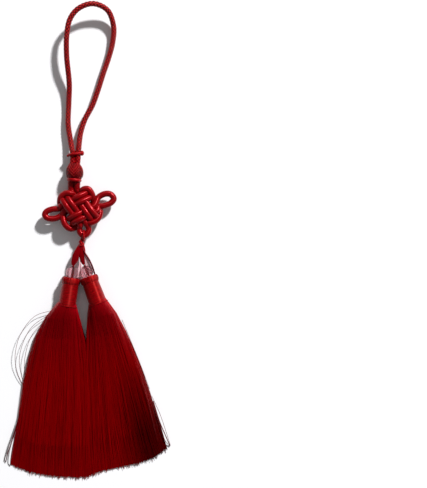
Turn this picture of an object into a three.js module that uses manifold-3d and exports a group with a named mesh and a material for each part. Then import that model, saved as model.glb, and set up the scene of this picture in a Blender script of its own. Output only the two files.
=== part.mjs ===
import * as THREE from 'three';
import { mergeVertices } from 'three/addons/utils/BufferGeometryUtils.js';
import Module from 'manifold-3d';

const wasm = await Module();
wasm.setup();

// A Chinese knot tassel lying on its back. Millimetres, +Z up, the loop towards +Y.
// The layout is measured from the heart of the flower knot and centred at the end.

// Sizes
const GAP = 0.3;                       // space left between separate pieces
const CORD = { radius: 1.6, sides: 8 };
const SATIN = { radius: 1.75, sides: 8, pitch: 3.5, step: 3.7 };
const NECK = { x: -2.15, spread: 3.0, radius: 1.5, top: 34.4, z: 5.2 };
const LOOP = { end: 35.1, spread: 3.5, steps: 46 };
const COLLAR = { x: -2.2, y: 33.2, halfWidth: 4.15, halfHeight: 2.7, radius: 0.8, tiltDeg: 6 };
const COLLAR_KNOB = { radius: 1.3, out: 0.35, up: 0.5, raised: 0.3 };
const COLLAR_TAIL = { radius: 0.65, out: 0.8, down: 1.3 };
const BUTTON = {
  x: -2.6, top: 27.9, length: 9.4, z: 5.4, plaits: 4, ribs: 5, relief: 0.22, slant: 1.5,
  rows: 15, around: 26, neckIn: 1.5,
};
const TURN = { x: -2.9, y: 18.0, halfWidth: 3.3, radius: 1.1, tiltDeg: -6 };
const WEAVE = {
  uDeg: 27, vDeg: 125.5, x: 0.4, y: 1.1, upright: 3.75, level: 4.6,
  frontReach: 4.2, edge: 3.6, bulge: 1.6, backReach: 2.6, swell: 1.25,
};
const LEVEL = {
  back: 3.05, front: 7.7, ear: 5.2, neck: 4.1, entry: 6.7, over: 7.5, under: 3.25, exit: 3.55,
};
const TIE = { radius: 0.75, thread: 0.4, leg: 0.45, lap: 0.3, z: 5.2, sides: 8 };
const HITCH = { x: 3.1, radius: 3.0, thick: 0.55, sides: 6, steps: 14 };
const OVERHAND = { x: 1.95, radius: 0.95, sides: 6, steps: 10 };
const BEAD = { radius: 3.9, hole: 0.8, lift: 3.0, rows: 9, sides: 18 };
const HEAD = { length: 17.3, axisZ: 5.2, sides: 28 };
// The bound root under a head: how far it starts inside the head, and the share of the way
// from the first fan station to the second at which it lets the locks go
const PLUG = {
  sides: 20, squareness: 0.8, inside: 1.5, part: 0.55,
  neckHalf: 5.0, neckThick: 10.0, footHalf: 5.4, footThick: 10.1,
  lift: 0.6, tuck: 1.2, cover: 0.1, shy: 0.3, full: 0.2,
};

// The free loop of cord, one leg up and the other down: x, y and height of its centre
const LOOP_PATH = [
  { x: -5.4, y: 42.5, z: 3.6 },
  { x: -6.8, y: 52.0, z: 3.0 },
  { x: -6.4, y: 64.5, z: 3.0 },
  { x: -5.9, y: 76.0, z: 4.7 },
  { x: -7.0, y: 92.4, z: 8.6 },
  { x: -6.6, y: 104.8, z: 10.4 },
  { x: -4.6, y: 113.6, z: 10.9 },
  { x: 0.4, y: 119.8, z: 10.8 },
  { x: 9.0, y: 122.9, z: 9.4 },
  { x: 17.2, y: 119.6, z: 6.4 },
  { x: 20.6, y: 110.4, z: 3.2 },
  { x: 19.9, y: 100.7, z: 2.6 },
  { x: 17.4, y: 91.4, z: 2.4 },
  { x: 14.4, y: 82.6, z: 2.4 },
  { x: 11.0, y: 72.0, z: 2.4 },
  { x: 7.8, y: 63.2, z: 2.5 },
  { x: 3.4, y: 54.8, z: 2.9 },
  { x: 0.8, y: 46.4, z: 3.6 },
];

// The ears of the flower knot, from the outer strand of the arm round to the inner one
const EAST_EAR = [
  { x: 11.7, y: 1.9 }, { x: 15.5, y: 2.7 }, { x: 19.2, y: 4.3 }, { x: 20.9, y: 6.8 },
  { x: 19.0, y: 9.4 }, { x: 15.7, y: 9.7 }, { x: 11.7, y: 7.6 },
];
const WEST_EAR = [
  { x: -12.2, y: 0.9 }, { x: -16.0, y: 0.5 }, { x: -19.4, y: -0.9 }, { x: -20.5, y: -3.0 },
  { x: -18.8, y: -4.9 }, { x: -15.0, y: -5.2 }, { x: -10.8, y: -3.5 },
];
const SOUTH_EAR = [
  { x: 0.3, y: -11.0 }, { x: 0.7, y: -13.6 }, { x: 3.0, y: -15.4 }, { x: 5.2, y: -13.9 },
  { x: 5.9, y: -10.9 },
];
const NECK_ENDS = { y: 16.0, left: -4.8, right: -1.1, bendY: 12.0, bendZ: 4.3 };

// The lobes of the flower knot, from an outer strand to an inner one: x, y and the share of
// the rise from the back of the knot to its front
const LOBES = {
  west: [
    { x: -10.7, y: 1.7, rise: 0.15 }, { x: -11.4, y: 4.6, rise: 0.5 },
    { x: -10.4, y: 8.0, rise: 0.8 }, { x: -7.7, y: 9.9, rise: 0.95 }, { x: -4.6, y: 9.9, rise: 1.0 },
  ],
  south: [
    { x: -2.3, y: -10.3, rise: 0.2 }, { x: -5.2, y: -11.2, rise: 0.6 },
    { x: -8.1, y: -8.9, rise: 0.8 }, { x: -9.3, y: -5.6, rise: 0.7 }, { x: -9.2, y: -2.4, rise: 0.3 },
  ],
  east: [
    { x: 12.3, y: 0.2, rise: 0.15 }, { x: 12.5, y: -3.3, rise: 0.5 },
    { x: 10.4, y: -6.3, rise: 0.75 }, { x: 7.4, y: -7.7, rise: 0.8 }, { x: 4.6, y: -7.4, rise: 0.5 },
  ],
  north: [
    { x: 1.2, y: 10.9, rise: 0.35 }, { x: 3.2, y: 12.5, rise: 0.7 }, { x: 5.7, y: 12.5, rise: 0.8 },
    { x: 7.6, y: 10.2, rise: 0.7 }, { x: 8.5, y: 6.4, rise: 0.35 }, { x: 8.2, y: 3.0, rise: 0.1 },
  ],
};

// Silhouette of the button knot: share of its length from the top, radius
const BUTTON_PROFILE = [
  { at: 0.0, radius: 3.0 }, { at: 0.12, radius: 3.7 }, { at: 0.3, radius: 4.7 },
  { at: 0.5, radius: 5.15 }, { at: 0.7, radius: 5.2 }, { at: 0.86, radius: 4.8 },
  { at: 1.0, radius: 3.9 },
];

// Legs of the tassel tie: centre, width and thickness at each station
const LEFT_LEG = [
  { x: 1.0, y: -20.8, wide: 2.4, thick: 1.8 }, { x: -0.4, y: -24.0, wide: 3.6, thick: 2.2 },
  { x: -1.7, y: -27.4, wide: 4.0, thick: 2.3 }, { x: -2.7, y: -31.0, wide: 3.6, thick: 2.0 },
  { x: -3.6, y: -33.1, wide: 1.5, thick: 1.3 },
];
const RIGHT_LEG = [
  { x: 1.9, y: -20.8, wide: 2.4, thick: 1.8 }, { x: 2.0, y: -24.0, wide: 3.4, thick: 2.2 },
  { x: 1.9, y: -27.6, wide: 3.2, thick: 2.2 }, { x: 1.9, y: -30.2, wide: 2.6, thick: 1.8 },
  { x: 2.7, y: -32.6, wide: 1.5, thick: 1.2 },
];
// The cord of the tie from the hitch to the legs, and the two turns of its knot
const STEM = [{ x: 3.3, y: -18.3 }, { x: 2.2, y: -19.2 }, { x: 1.6, y: -21.4 }];
const STEM_RADIUS = 0.95;
const OVERHAND_TURNS = [{ y: -19.4, tiltDeg: 24 }, { y: -20.7, tiltDeg: -28 }];
const LOOSE_THREAD = [
  { x: 2.9, y: -22.6, z: 5.6 }, { x: 4.4, y: -26.2, z: 6.4 }, { x: 6.8, y: -30.6, z: 7.0 },
  { x: 8.7, y: -34.6, z: 7.2 }, { x: 9.7, y: -37.3, z: 6.8 },
];

// A satin-wrapped head, from the dish in its top to the foot: distance down, radius
const HEAD_PROFILE = [
  { down: 1.2, radius: 0.0 }, { down: 0.9, radius: 2.4 }, { down: 0.3, radius: 3.8 },
  { down: 0.0, radius: 4.5 }, { down: 0.3, radius: 5.1 }, { down: 1.2, radius: 5.45 },
  { down: 2.6, radius: 5.45 }, { down: 3.6, radius: 5.15 }, { down: 4.3, radius: 4.9 },
  { down: 7.5, radius: 5.05 }, { down: 12.0, radius: 5.2 }, { down: 17.3, radius: 5.3 },
  { down: 17.3, radius: 0.0 },
];

// Each tassel: middle of the top of its head, lean of the head, and the fan of its skirt.
// Fan stations run down the skirt; ends give how far down each share of the width reaches.
const TASSELS = {
  left: {
    topX: -4.5, topY: -40.5, leanDeg: -9.3,
    fan: [
      { y: -58.2, left: -14.4, right: -1.9 },
      { y: -62.0, left: -18.6, right: -1.2 },
      { y: -69.0, left: -23.4, right: 0.2 },
      { y: -79.0, left: -27.8, right: 2.0 },
      { y: -100.0, left: -32.6, right: 2.6 },
      { y: -152.5, left: -41.2, right: 2.9 },
    ],
    ends: [
      { across: 0.0, y: -153.0 }, { across: 0.25, y: -157.2 }, { across: 0.5, y: -159.4 },
      { across: 0.85, y: -160.6 }, { across: 1.0, y: -160.0 },
    ],
  },
  right: {
    topX: 5.6, topY: -39.9, leanDeg: 20.0,
    fan: [
      { y: -56.6, left: 5.4, right: 17.6 },
      { y: -60.6, left: 4.0, right: 21.6 },
      { y: -69.0, left: 3.4, right: 25.6 },
      { y: -79.0, left: 3.3, right: 30.2 },
      { y: -100.0, left: 3.3, right: 38.4 },
      { y: -143.0, left: 3.4, right: 52.2 },
    ],
    ends: [
      { across: 0.0, y: -160.0 }, { across: 0.2, y: -156.4 }, { across: 0.4, y: -154.3 },
      { across: 0.6, y: -152.0 }, { across: 0.8, y: -148.8 }, { across: 1.0, y: -142.8 },
    ],
  },
};
const THICKNESS = [10.2, 8.8, 7.4, 6.2, 4.8, 3.4];   // of the skirt at each fan station
// Layers of locks from the surface up: how many, and their share of the width at root and end
const LAYERS = [
  { locks: 12, root: 0.74, end: 1.0 },
  { locks: 16, root: 1.0, end: 1.0 },
  { locks: 16, root: 1.0, end: 0.97 },
  { locks: 12, root: 0.74, end: 0.9 },
];
const RAGGED = 1.1;                    // most that a lock falls short at its end

// Helpers
const rad = THREE.MathUtils.degToRad;
const lerp = THREE.MathUtils.lerp;

// Value between two rows of a table, by one of its columns
function between(rows, key, at, column) {
  const sign = rows[rows.length - 1][key] > rows[0][key] ? 1 : -1;
  let i = 0;
  while (i < rows.length - 2 && sign * rows[i + 1][key] < sign * at) i += 1;
  const t = (at - rows[i][key]) / (rows[i + 1][key] - rows[i][key]);
  return lerp(rows[i][column], rows[i + 1][column], THREE.MathUtils.clamp(t, 0, 1));
}

// Closed body through rings of points, each ring the same count: with flat ends, or joined up
function loft(rings, joined = false) {
  const sides = rings[0].length;
  const position = rings.flat().flatMap((p) => [p.x, p.y, p.z]);
  const index = [];
  const last = rings.length - 1;
  for (let i = 0; i < (joined ? rings.length : last); i += 1) {
    const next = ((i + 1) % rings.length) * sides;
    for (let j = 0; j < sides; j += 1) {
      const k = (j + 1) % sides;
      index.push(i * sides + j, i * sides + k, next + k, i * sides + j, next + k, next + j);
    }
  }
  for (let j = 1; !joined && j + 1 < sides; j += 1) {
    index.push(0, j + 1, j, last * sides, last * sides + j, last * sides + j + 1);
  }
  const geometry = new THREE.BufferGeometry();
  geometry.setAttribute('position', new THREE.Float32BufferAttribute(position, 3));
  geometry.setIndex(index);
  return facingOut(geometry);
}

// Turns every face over if the body is inside out
function facingOut(geometry) {
  const p = geometry.getAttribute('position');
  const index = geometry.getIndex().array;
  const corner = [new THREE.Vector3(), new THREE.Vector3(), new THREE.Vector3()];
  let volume = 0;
  for (let i = 0; i < index.length; i += 3) {
    corner.forEach((v, k) => v.fromBufferAttribute(p, index[i + k]));
    volume += corner[0].dot(corner[1].clone().cross(corner[2]));
  }
  if (volume < 0) {
    for (let i = 0; i < index.length; i += 3) {
      [index[i + 1], index[i + 2]] = [index[i + 2], index[i + 1]];
    }
  }
  return geometry;
}

// Joins the corners that faces share and drops faces that have closed to a line
function bare(geometry) {
  geometry.deleteAttribute('normal');
  geometry.deleteAttribute('uv');
  const joined = mergeVertices(geometry, 1e-4);
  const old = joined.getIndex().array;
  const index = [];
  for (let i = 0; i < old.length; i += 3) {
    const [a, b, c] = old.slice(i, i + 3);
    if (a !== b && b !== c && c !== a) index.push(a, b, c);
  }
  joined.setIndex(index);
  joined.clearGroups();
  return joined;
}

function solidOf(geometry) {
  const clean = bare(geometry);
  return new wasm.Manifold(new wasm.Mesh({
    numProp: 3,
    vertProperties: new Float32Array(clean.getAttribute('position').array),
    triVerts: new Uint32Array(clean.getIndex().array),
  }));
}

// One body of several that touch; hollows closed in by them are filled
function fuse(geometries) {
  let whole = solidOf(geometries[0]);
  for (const geometry of geometries.slice(1)) whole = whole.add(solidOf(geometry));
  const shells = whole.simplify(0.03).decompose().sort((a, b) => b.volume() - a.volume());
  const mesh = shells[0].getMesh();
  const geometry = new THREE.BufferGeometry();
  geometry.setAttribute('position', new THREE.Float32BufferAttribute(mesh.vertProperties, 3));
  geometry.setIndex(new THREE.Uint32BufferAttribute(mesh.triVerts, 1));
  return geometry;
}

// Round cord along a smooth line
function cord(points, radius, sides, steps) {
  const path = new THREE.CatmullRomCurve3(points, false, 'centripetal');
  const section = new THREE.Shape();
  for (let i = 0; i < sides; i += 1) {
    const a = (i / sides) * 2 * Math.PI;
    if (i) section.lineTo(radius * Math.cos(a), radius * Math.sin(a));
    else section.moveTo(radius, 0);
  }
  return bare(new THREE.ExtrudeGeometry(section, { steps, extrudePath: path, bevelEnabled: false }));
}

// Rings of a cord along a smooth line, a step apart
function cordRings(points, radius, sides, step) {
  const path = new THREE.CatmullRomCurve3(points, false, 'centripetal');
  path.arcLengthDivisions = 2000;
  const steps = Math.round(path.getLength() / step);
  const { normals, binormals } = path.computeFrenetFrames(steps, false);
  return normals.map((normal, i) => {
    const centre = path.getPointAt(i / steps);
    return Array.from({ length: sides }, (_, j) => {
      const a = ((j + 0.5) / sides) * 2 * Math.PI;
      return centre.clone()
        .addScaledVector(normal, radius * Math.cos(a))
        .addScaledVector(binormals[i], radius * Math.sin(a));
    });
  });
}

// Body turned about an axis in the plane of the surface, starting at a point and leaning
function turned(profile, sides, x, y, z, leanDeg) {
  const points = profile.map((p) => new THREE.Vector2(p.radius, -p.down));
  const geometry = bare(new THREE.LatheGeometry(points, sides));
  geometry.rotateZ(rad(leanDeg));
  geometry.translate(x, y, z);
  return facingOut(geometry);
}

// Oval ring of thin cord round the neck of the drawing, tilted in its plane
function ovalRing({ x, y, z, halfWidth, halfHeight, radius, tiltDeg, sides, steps }) {
  const rings = Array.from({ length: steps }, (_, i) => {
    const a = (i / steps) * 2 * Math.PI;
    const centre = new THREE.Vector3(halfWidth * Math.cos(a), 0, halfHeight * Math.sin(a));
    const out = new THREE.Vector3(halfHeight * Math.cos(a), 0, halfWidth * Math.sin(a)).normalize();
    return Array.from({ length: sides }, (_unused, j) => {
      const b = (j / sides) * 2 * Math.PI;
      return centre.clone().addScaledVector(out, radius * Math.cos(b))
        .add(new THREE.Vector3(0, radius * Math.sin(b), 0));
    });
  });
  return loft(rings, true).rotateZ(rad(tiltDeg)).translate(x, y, z);
}

// Presses what lies under the surface up to it, as soft pieces lie
function rested(geometry) {
  const p = geometry.getAttribute('position');
  for (let i = 0; i < p.count; i += 1) p.setZ(i, Math.max(0, p.getZ(i)));
  return geometry;
}

// Repeatable number from 0 to 1 for a lock
function chance(seed) {
  const s = Math.sin(seed * 12.9898) * 43758.5453;
  return s - Math.floor(s);
}

// Hanging loop: one free length of round cord
const loopEnds = [NECK.x - LOOP.spread / 2, NECK.x + LOOP.spread / 2]
  .map((x) => new THREE.Vector3(x, LOOP.end, NECK.z));
const hangingLoop = cord(
  [loopEnds[0], ...LOOP_PATH.map((p) => new THREE.Vector3(p.x, p.y, p.z)), loopEnds[1]],
  CORD.radius, CORD.sides, LOOP.steps,
);

// Upper collar: thin cord once round the neck, with its knot at the right and a tail at the left
const collarLeft = COLLAR.x - COLLAR.halfWidth;
const collar = fuse([
  ovalRing({ ...COLLAR, z: NECK.z, sides: 8, steps: 20 }),
  new THREE.SphereGeometry(COLLAR_KNOB.radius, 10, 6).translate(
    COLLAR.x + COLLAR.halfWidth + COLLAR_KNOB.out, COLLAR.y + COLLAR_KNOB.up,
    NECK.z + COLLAR_KNOB.raised),
  cord([
    new THREE.Vector3(collarLeft + COLLAR.radius / 2, COLLAR.y - COLLAR_TAIL.radius, NECK.z),
    new THREE.Vector3(collarLeft - COLLAR_TAIL.out, COLLAR.y - COLLAR_TAIL.down, NECK.z),
  ], COLLAR_TAIL.radius, 8, 2),
]);

// Button knot: a plaited barrel, ribbed in chevrons, with its neck cords and its last turn
function buttonBarrel() {
  const rings = [];
  for (let i = 0; i <= BUTTON.rows; i += 1) {
    const at = i / BUTTON.rows;
    const radius = between(BUTTON_PROFILE, 'at', at, 'radius');
    const fade = Math.sin(Math.PI * at) ** 0.5;
    rings.push(Array.from({ length: BUTTON.around }, (_, j) => {
      const turn = (j / BUTTON.around) * BUTTON.plaits;
      const slant = Math.abs(2 * (turn - Math.floor(turn)) - 1);
      const rib = Math.cos(2 * Math.PI * (at * BUTTON.ribs + slant * BUTTON.slant));
      const r = radius + BUTTON.relief * rib * fade;
      const a = (j / BUTTON.around) * 2 * Math.PI;
      return new THREE.Vector3(
        BUTTON.x + r * Math.cos(a), BUTTON.top - at * BUTTON.length, BUTTON.z + r * Math.sin(a));
    }));
  }
  return loft(rings);
}
const neckCords = [-1, 1].map((side) => cord([
  new THREE.Vector3(NECK.x + side * NECK.spread / 2, NECK.top, NECK.z),
  new THREE.Vector3(NECK.x + side * NECK.spread / 2, (NECK.top + BUTTON.top) / 2, NECK.z),
  new THREE.Vector3(BUTTON.x + side * NECK.spread / 2, BUTTON.top - BUTTON.neckIn, NECK.z),
], NECK.radius, 10, 4));
const buttonKnot = fuse([
  buttonBarrel(),
  ...neckCords,
  ovalRing({ ...TURN, z: BUTTON.z, halfHeight: TURN.halfWidth, sides: 6, steps: 20 }),
]);

// Flower knot: one cord crossed in pairs. Each arm runs along the front, turns over the
// edge and returns along the back; lobes join one arm to the next, ears close three arms.
function woven(u, v, z) {
  return new THREE.Vector3(
    WEAVE.x + u * Math.cos(rad(WEAVE.uDeg)) + v * Math.cos(rad(WEAVE.vDeg)),
    WEAVE.y + u * Math.sin(rad(WEAVE.uDeg)) + v * Math.sin(rad(WEAVE.vDeg)), z);
}
function quarterTurns(u, v, k) {
  return [[u, v], [-v, u], [-u, -v], [v, -u]][k];
}
const [south, east, north, west] = [0, 1, 2, 3];
const [outer, inner] = [-1, 1];
// From the way out at the edge, over the front, round the turn and back behind
function armStrand(k, side) {
  const [own, cross] = k % 2 ? [WEAVE.level, WEAVE.upright] : [WEAVE.upright, WEAVE.level];
  const u = -own + side * SATIN.pitch / 2;
  const { swell } = WEAVE;
  const edge = cross + WEAVE.edge;
  return [
    { v: -cross - WEAVE.frontReach, z: k === north ? LEVEL.neck : LEVEL.entry },
    { v: -cross, z: LEVEL.front - swell },
    { v: 0, z: LEVEL.front },
    { v: cross, z: LEVEL.front + swell },
    { v: edge, z: LEVEL.over },
    { v: edge + WEAVE.bulge, z: (LEVEL.front + LEVEL.back) / 2 },
    { v: edge, z: LEVEL.under },
    { v: cross, z: LEVEL.back - swell },
    { v: 0, z: LEVEL.back },
    { v: -cross, z: LEVEL.back + swell },
    { v: -cross - WEAVE.backReach, z: LEVEL.exit },
  ].map(({ v, z }) => woven(...quarterTurns(u, v, k), z));
}
function lobe(rows) {
  return rows.map(({ x, y, rise }) => new THREE.Vector3(x, y, lerp(LEVEL.back, LEVEL.front, rise)));
}
function ear(rows) {
  return rows.map((p) => new THREE.Vector3(p.x, p.y, LEVEL.ear));
}
function neckEnd(x) {
  return [
    new THREE.Vector3(x, NECK_ENDS.y, LEVEL.ear),
    new THREE.Vector3(x, NECK_ENDS.bendY, NECK_ENDS.bendZ),
  ];
}
const knotPath = [
  ...neckEnd(NECK_ENDS.left), ...armStrand(north, inner),
  ...lobe(LOBES.west).reverse(), ...armStrand(west, outer).reverse(),
  ...ear(WEST_EAR), ...armStrand(west, inner),
  ...lobe(LOBES.south).reverse(), ...armStrand(south, outer).reverse(),
  ...ear(SOUTH_EAR), ...armStrand(south, inner),
  ...lobe(LOBES.east).reverse(), ...armStrand(east, outer).reverse(),
  ...ear(EAST_EAR), ...armStrand(east, inner),
  ...lobe(LOBES.north).reverse(), ...armStrand(north, outer).reverse(),
  ...neckEnd(NECK_ENDS.right).reverse(),
];
const knotRings = cordRings(knotPath, SATIN.radius, SATIN.sides, SATIN.step);
const PIECE = 5;                       // steps of cord in each body before they are fused
const knotPieces = [];
for (let i = 0; i + 1 < knotRings.length; i += PIECE) {
  knotPieces.push(loft(knotRings.slice(i, i + PIECE + 1)));
}
const flowerKnot = fuse(knotPieces);

// Tassel tie: hitched round the bottom ear, knotted once, a leg down to each tassel
function leg(rows) {
  return rows.map(({ x, y, wide, thick }) => Array.from({ length: TIE.sides }, (_, j) => {
    const a = ((j + 0.5) / TIE.sides) * 2 * Math.PI;
    return new THREE.Vector3(x + (wide / 2) * Math.cos(a), y, TIE.z + (thick / 2) * Math.sin(a));
  }));
}
function headAxis({ topX, topY, leanDeg }, down) {
  return new THREE.Vector3(
    topX + down * Math.sin(rad(leanDeg)), topY - down * Math.cos(rad(leanDeg)), HEAD.axisZ);
}
// Thin end of a leg, from its last station through the bead to the dish of the head
function legEnd(rows, tassel) {
  const last = rows[rows.length - 1];
  const foot = HEAD_PROFILE[0].down - GAP;
  return cord([
    new THREE.Vector3(last.x, last.y + TIE.lap, TIE.z),
    headAxis(tassel, -BEAD.lift - BEAD.radius),
    headAxis(tassel, -BEAD.lift - BEAD.radius / 2),
    headAxis(tassel, -BEAD.lift),
    headAxis(tassel, foot),
  ], TIE.leg, 6, 7);
}
const hitch = new THREE.TorusGeometry(HITCH.radius, HITCH.thick, HITCH.sides, HITCH.steps)
  .rotateY(Math.PI / 2).translate(HITCH.x, SOUTH_EAR[2].y, LEVEL.ear);
const overhand = OVERHAND_TURNS.map(({ y, tiltDeg }) =>
  new THREE.TorusGeometry(OVERHAND.radius, TIE.radius, OVERHAND.sides, OVERHAND.steps)
    .rotateX(Math.PI / 2).rotateZ(rad(tiltDeg)).translate(OVERHAND.x, y, TIE.z));
const tasselTie = fuse([
  hitch,
  cord(STEM.map((p) => new THREE.Vector3(p.x, p.y, TIE.z)), STEM_RADIUS, TIE.sides, 4),
  ...overhand,
  loft(leg(LEFT_LEG)), loft(leg(RIGHT_LEG)),
  legEnd(LEFT_LEG, TASSELS.left), legEnd(RIGHT_LEG, TASSELS.right),
  cord(LOOSE_THREAD.map((p) => new THREE.Vector3(p.x, p.y, p.z)), TIE.thread, 6, 8),
]);

// Beads: clear, round, drilled
function bead(tassel) {
  const centre = headAxis(tassel, -BEAD.lift);
  const start = Math.asin(BEAD.hole / BEAD.radius);
  const profile = [];
  for (let i = 0; i <= BEAD.rows; i += 1) {
    const a = lerp(start, Math.PI - start, i / BEAD.rows);
    profile.push({ radius: BEAD.radius * Math.sin(a), down: -BEAD.radius * Math.cos(a) });
  }
  profile.push(profile[0]);
  return turned(profile, BEAD.sides, centre.x, centre.y, centre.z, tassel.leanDeg);
}

// Tassels: a turned head, the bound root under it and the locks of the skirt
function across(tassel, station, layer, share) {
  const { left, right } = tassel.fan[station];
  const last = tassel.fan.length - 1;
  const width = lerp(layer.root, layer.end, station / last);
  return lerp(left, right, 0.5 + (share - 0.5) * width);
}
function lockRings(tassel, layer, level, lock) {
  const rings = [];
  const share = (lock + 0.5) / layer.locks;
  const tip = between(tassel.ends, 'across', share, 'y')
    + RAGGED * chance(lock + 40 * level + tassel.leanDeg);
  tassel.fan.forEach((row, station) => {
    const last = station === tassel.fan.length - 1;
    const height = THICKNESS[station] / LAYERS.length;
    const pitch = Math.abs(
      across(tassel, station, layer, 1 / layer.locks) - across(tassel, station, layer, 0));
    const x = across(tassel, station, layer, share);
    const before = across(tassel, station - (last ? 1 : 0), layer, share);
    const run = last ? (tip - row.y) / (row.y - tassel.fan[station - 1].y) : 0;
    const halfWide = (pitch - GAP) / 2;
    const low = level * height;
    const high = low + height - GAP;
    const y = last ? tip : row.y;
    const middle = last ? x + (x - before) * run : x;
    rings.push([
      new THREE.Vector3(middle - halfWide, y, low), new THREE.Vector3(middle + halfWide, y, low),
      new THREE.Vector3(middle + halfWide, y, high), new THREE.Vector3(middle - halfWide, y, high),
    ]);
  });
  return rings;
}
// Oval root that widens from the foot of the head to where the locks part
function rootPlug(tassel) {
  const foot = headAxis(tassel, HEAD.length);
  const inside = headAxis(tassel, HEAD.length - PLUG.inside);
  const first = tassel.fan[0];
  const second = tassel.fan[1];
  const stations = [
    { x: inside.x, y: inside.y, halfWide: PLUG.neckHalf, thick: PLUG.neckThick },
    { x: foot.x, y: foot.y, halfWide: PLUG.footHalf, thick: PLUG.footThick },
    { x: (first.left + first.right) / 2, y: first.y - PLUG.lift,
      halfWide: (first.right - first.left) / 2 + PLUG.cover, thick: THICKNESS[0] - PLUG.shy },
    { x: (second.left + second.right) / 2, y: lerp(first.y, second.y, PLUG.part),
      halfWide: (second.right - second.left) / 2 - PLUG.tuck, thick: THICKNESS[1] + PLUG.full },
  ];
  return loft(stations.map(({ x, y, halfWide, thick }) =>
    Array.from({ length: PLUG.sides }, (_, j) => {
      const a = (j / PLUG.sides) * 2 * Math.PI;
      const round = (value) => Math.sign(value) * Math.abs(value) ** PLUG.squareness;
      return new THREE.Vector3(
        x + halfWide * round(Math.cos(a)), y, thick / 2 + (thick / 2) * round(Math.sin(a)));
    })));
}
function tasselBody(tassel) {
  const head = rested(turned(
    HEAD_PROFILE, HEAD.sides, tassel.topX, tassel.topY, HEAD.axisZ, tassel.leanDeg));
  const locks = LAYERS.flatMap((layer, level) =>
    Array.from({ length: layer.locks }, (_, lock) => loft(lockRings(tassel, layer, level, lock))));
  return fuse([head, rootPlug(tassel), ...locks]);
}

// Assembly
const group = new THREE.Group();
function place(name, geometry, color, roughness, extra = {}) {
  const material = new THREE.MeshStandardMaterial({ color, roughness, metalness: 0, ...extra });
  const mesh = new THREE.Mesh(geometry, material);
  mesh.name = name;
  group.add(mesh);
}
place('hanging_loop', hangingLoop, '#a8162c', 0.55);
place('upper_collar', collar, '#8c0a18', 0.55);
place('button_knot', buttonKnot, '#98101f', 0.6);
place('flower_knot', flowerKnot, '#a00f1f', 0.45);
place('tassel_tie', tasselTie, '#a80a1c', 0.5);
place('bead_left', bead(TASSELS.left), '#eef2f3', 0.05, { transparent: true, opacity: 0.35 });
place('bead_right', bead(TASSELS.right), '#eef2f3', 0.05, { transparent: true, opacity: 0.35 });
place('tassel_left', tasselBody(TASSELS.left), '#8e0410', 0.4);
place('tassel_right', tasselBody(TASSELS.right), '#8e0410', 0.4);

// Centred over the surface by everything but the free loop
const bounds = new THREE.Box3();
for (const mesh of group.children) {
  mesh.geometry.computeBoundingBox();
  if (mesh.name !== 'hanging_loop') bounds.union(mesh.geometry.boundingBox);
}
const middle = bounds.getCenter(new THREE.Vector3());
for (const mesh of group.children) mesh.geometry.translate(-middle.x, -middle.y, -bounds.min.z);

export default group;
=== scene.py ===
# %% [markdown]
# A Chinese knot tassel lies on its back on a pale table. A loop of braided cord runs down
# into a plaited button knot, then a flower knot woven from doubled satin cord, then a thin
# tie that carries two clear beads and two silk tassels. The CAD gives the sizes and places.
# This file gives each piece its yarn: what it is spun, braided or wound from.

# %% Load the frame
import math
import bpy
import numpy as np
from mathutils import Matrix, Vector


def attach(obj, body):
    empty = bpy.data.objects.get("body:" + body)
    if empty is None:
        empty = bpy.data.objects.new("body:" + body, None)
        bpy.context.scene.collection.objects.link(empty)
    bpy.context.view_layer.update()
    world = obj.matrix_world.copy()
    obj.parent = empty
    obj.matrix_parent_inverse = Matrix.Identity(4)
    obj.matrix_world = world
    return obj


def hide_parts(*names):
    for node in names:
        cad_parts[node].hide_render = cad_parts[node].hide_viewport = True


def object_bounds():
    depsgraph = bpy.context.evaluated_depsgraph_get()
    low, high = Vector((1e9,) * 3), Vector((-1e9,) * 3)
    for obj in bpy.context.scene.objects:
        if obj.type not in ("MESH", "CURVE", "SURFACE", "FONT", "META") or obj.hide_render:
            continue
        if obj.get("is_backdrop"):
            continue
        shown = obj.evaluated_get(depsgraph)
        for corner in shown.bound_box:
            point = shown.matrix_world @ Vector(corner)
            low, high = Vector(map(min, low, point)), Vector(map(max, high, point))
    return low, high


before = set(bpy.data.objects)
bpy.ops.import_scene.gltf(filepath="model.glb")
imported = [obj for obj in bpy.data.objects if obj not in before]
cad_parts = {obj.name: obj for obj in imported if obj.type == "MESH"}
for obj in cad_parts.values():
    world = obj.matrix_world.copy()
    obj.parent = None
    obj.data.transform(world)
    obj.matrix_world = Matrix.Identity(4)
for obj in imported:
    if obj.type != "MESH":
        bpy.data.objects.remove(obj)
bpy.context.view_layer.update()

# %% [markdown]
# The drawing of the ornament is laid out in millimetres from the heart of the flower knot.
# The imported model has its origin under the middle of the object, so every point is moved
# by the same amount and turned into metres when its mesh is made.

# %% Layout and meshes
LAYOUT_TO_FRAME = np.array([-5.4507, 62.7368, 0.0])
MM = 0.001


def in_frame(points):
    return (np.asarray(points, float) + LAYOUT_TO_FRAME) * MM


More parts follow.
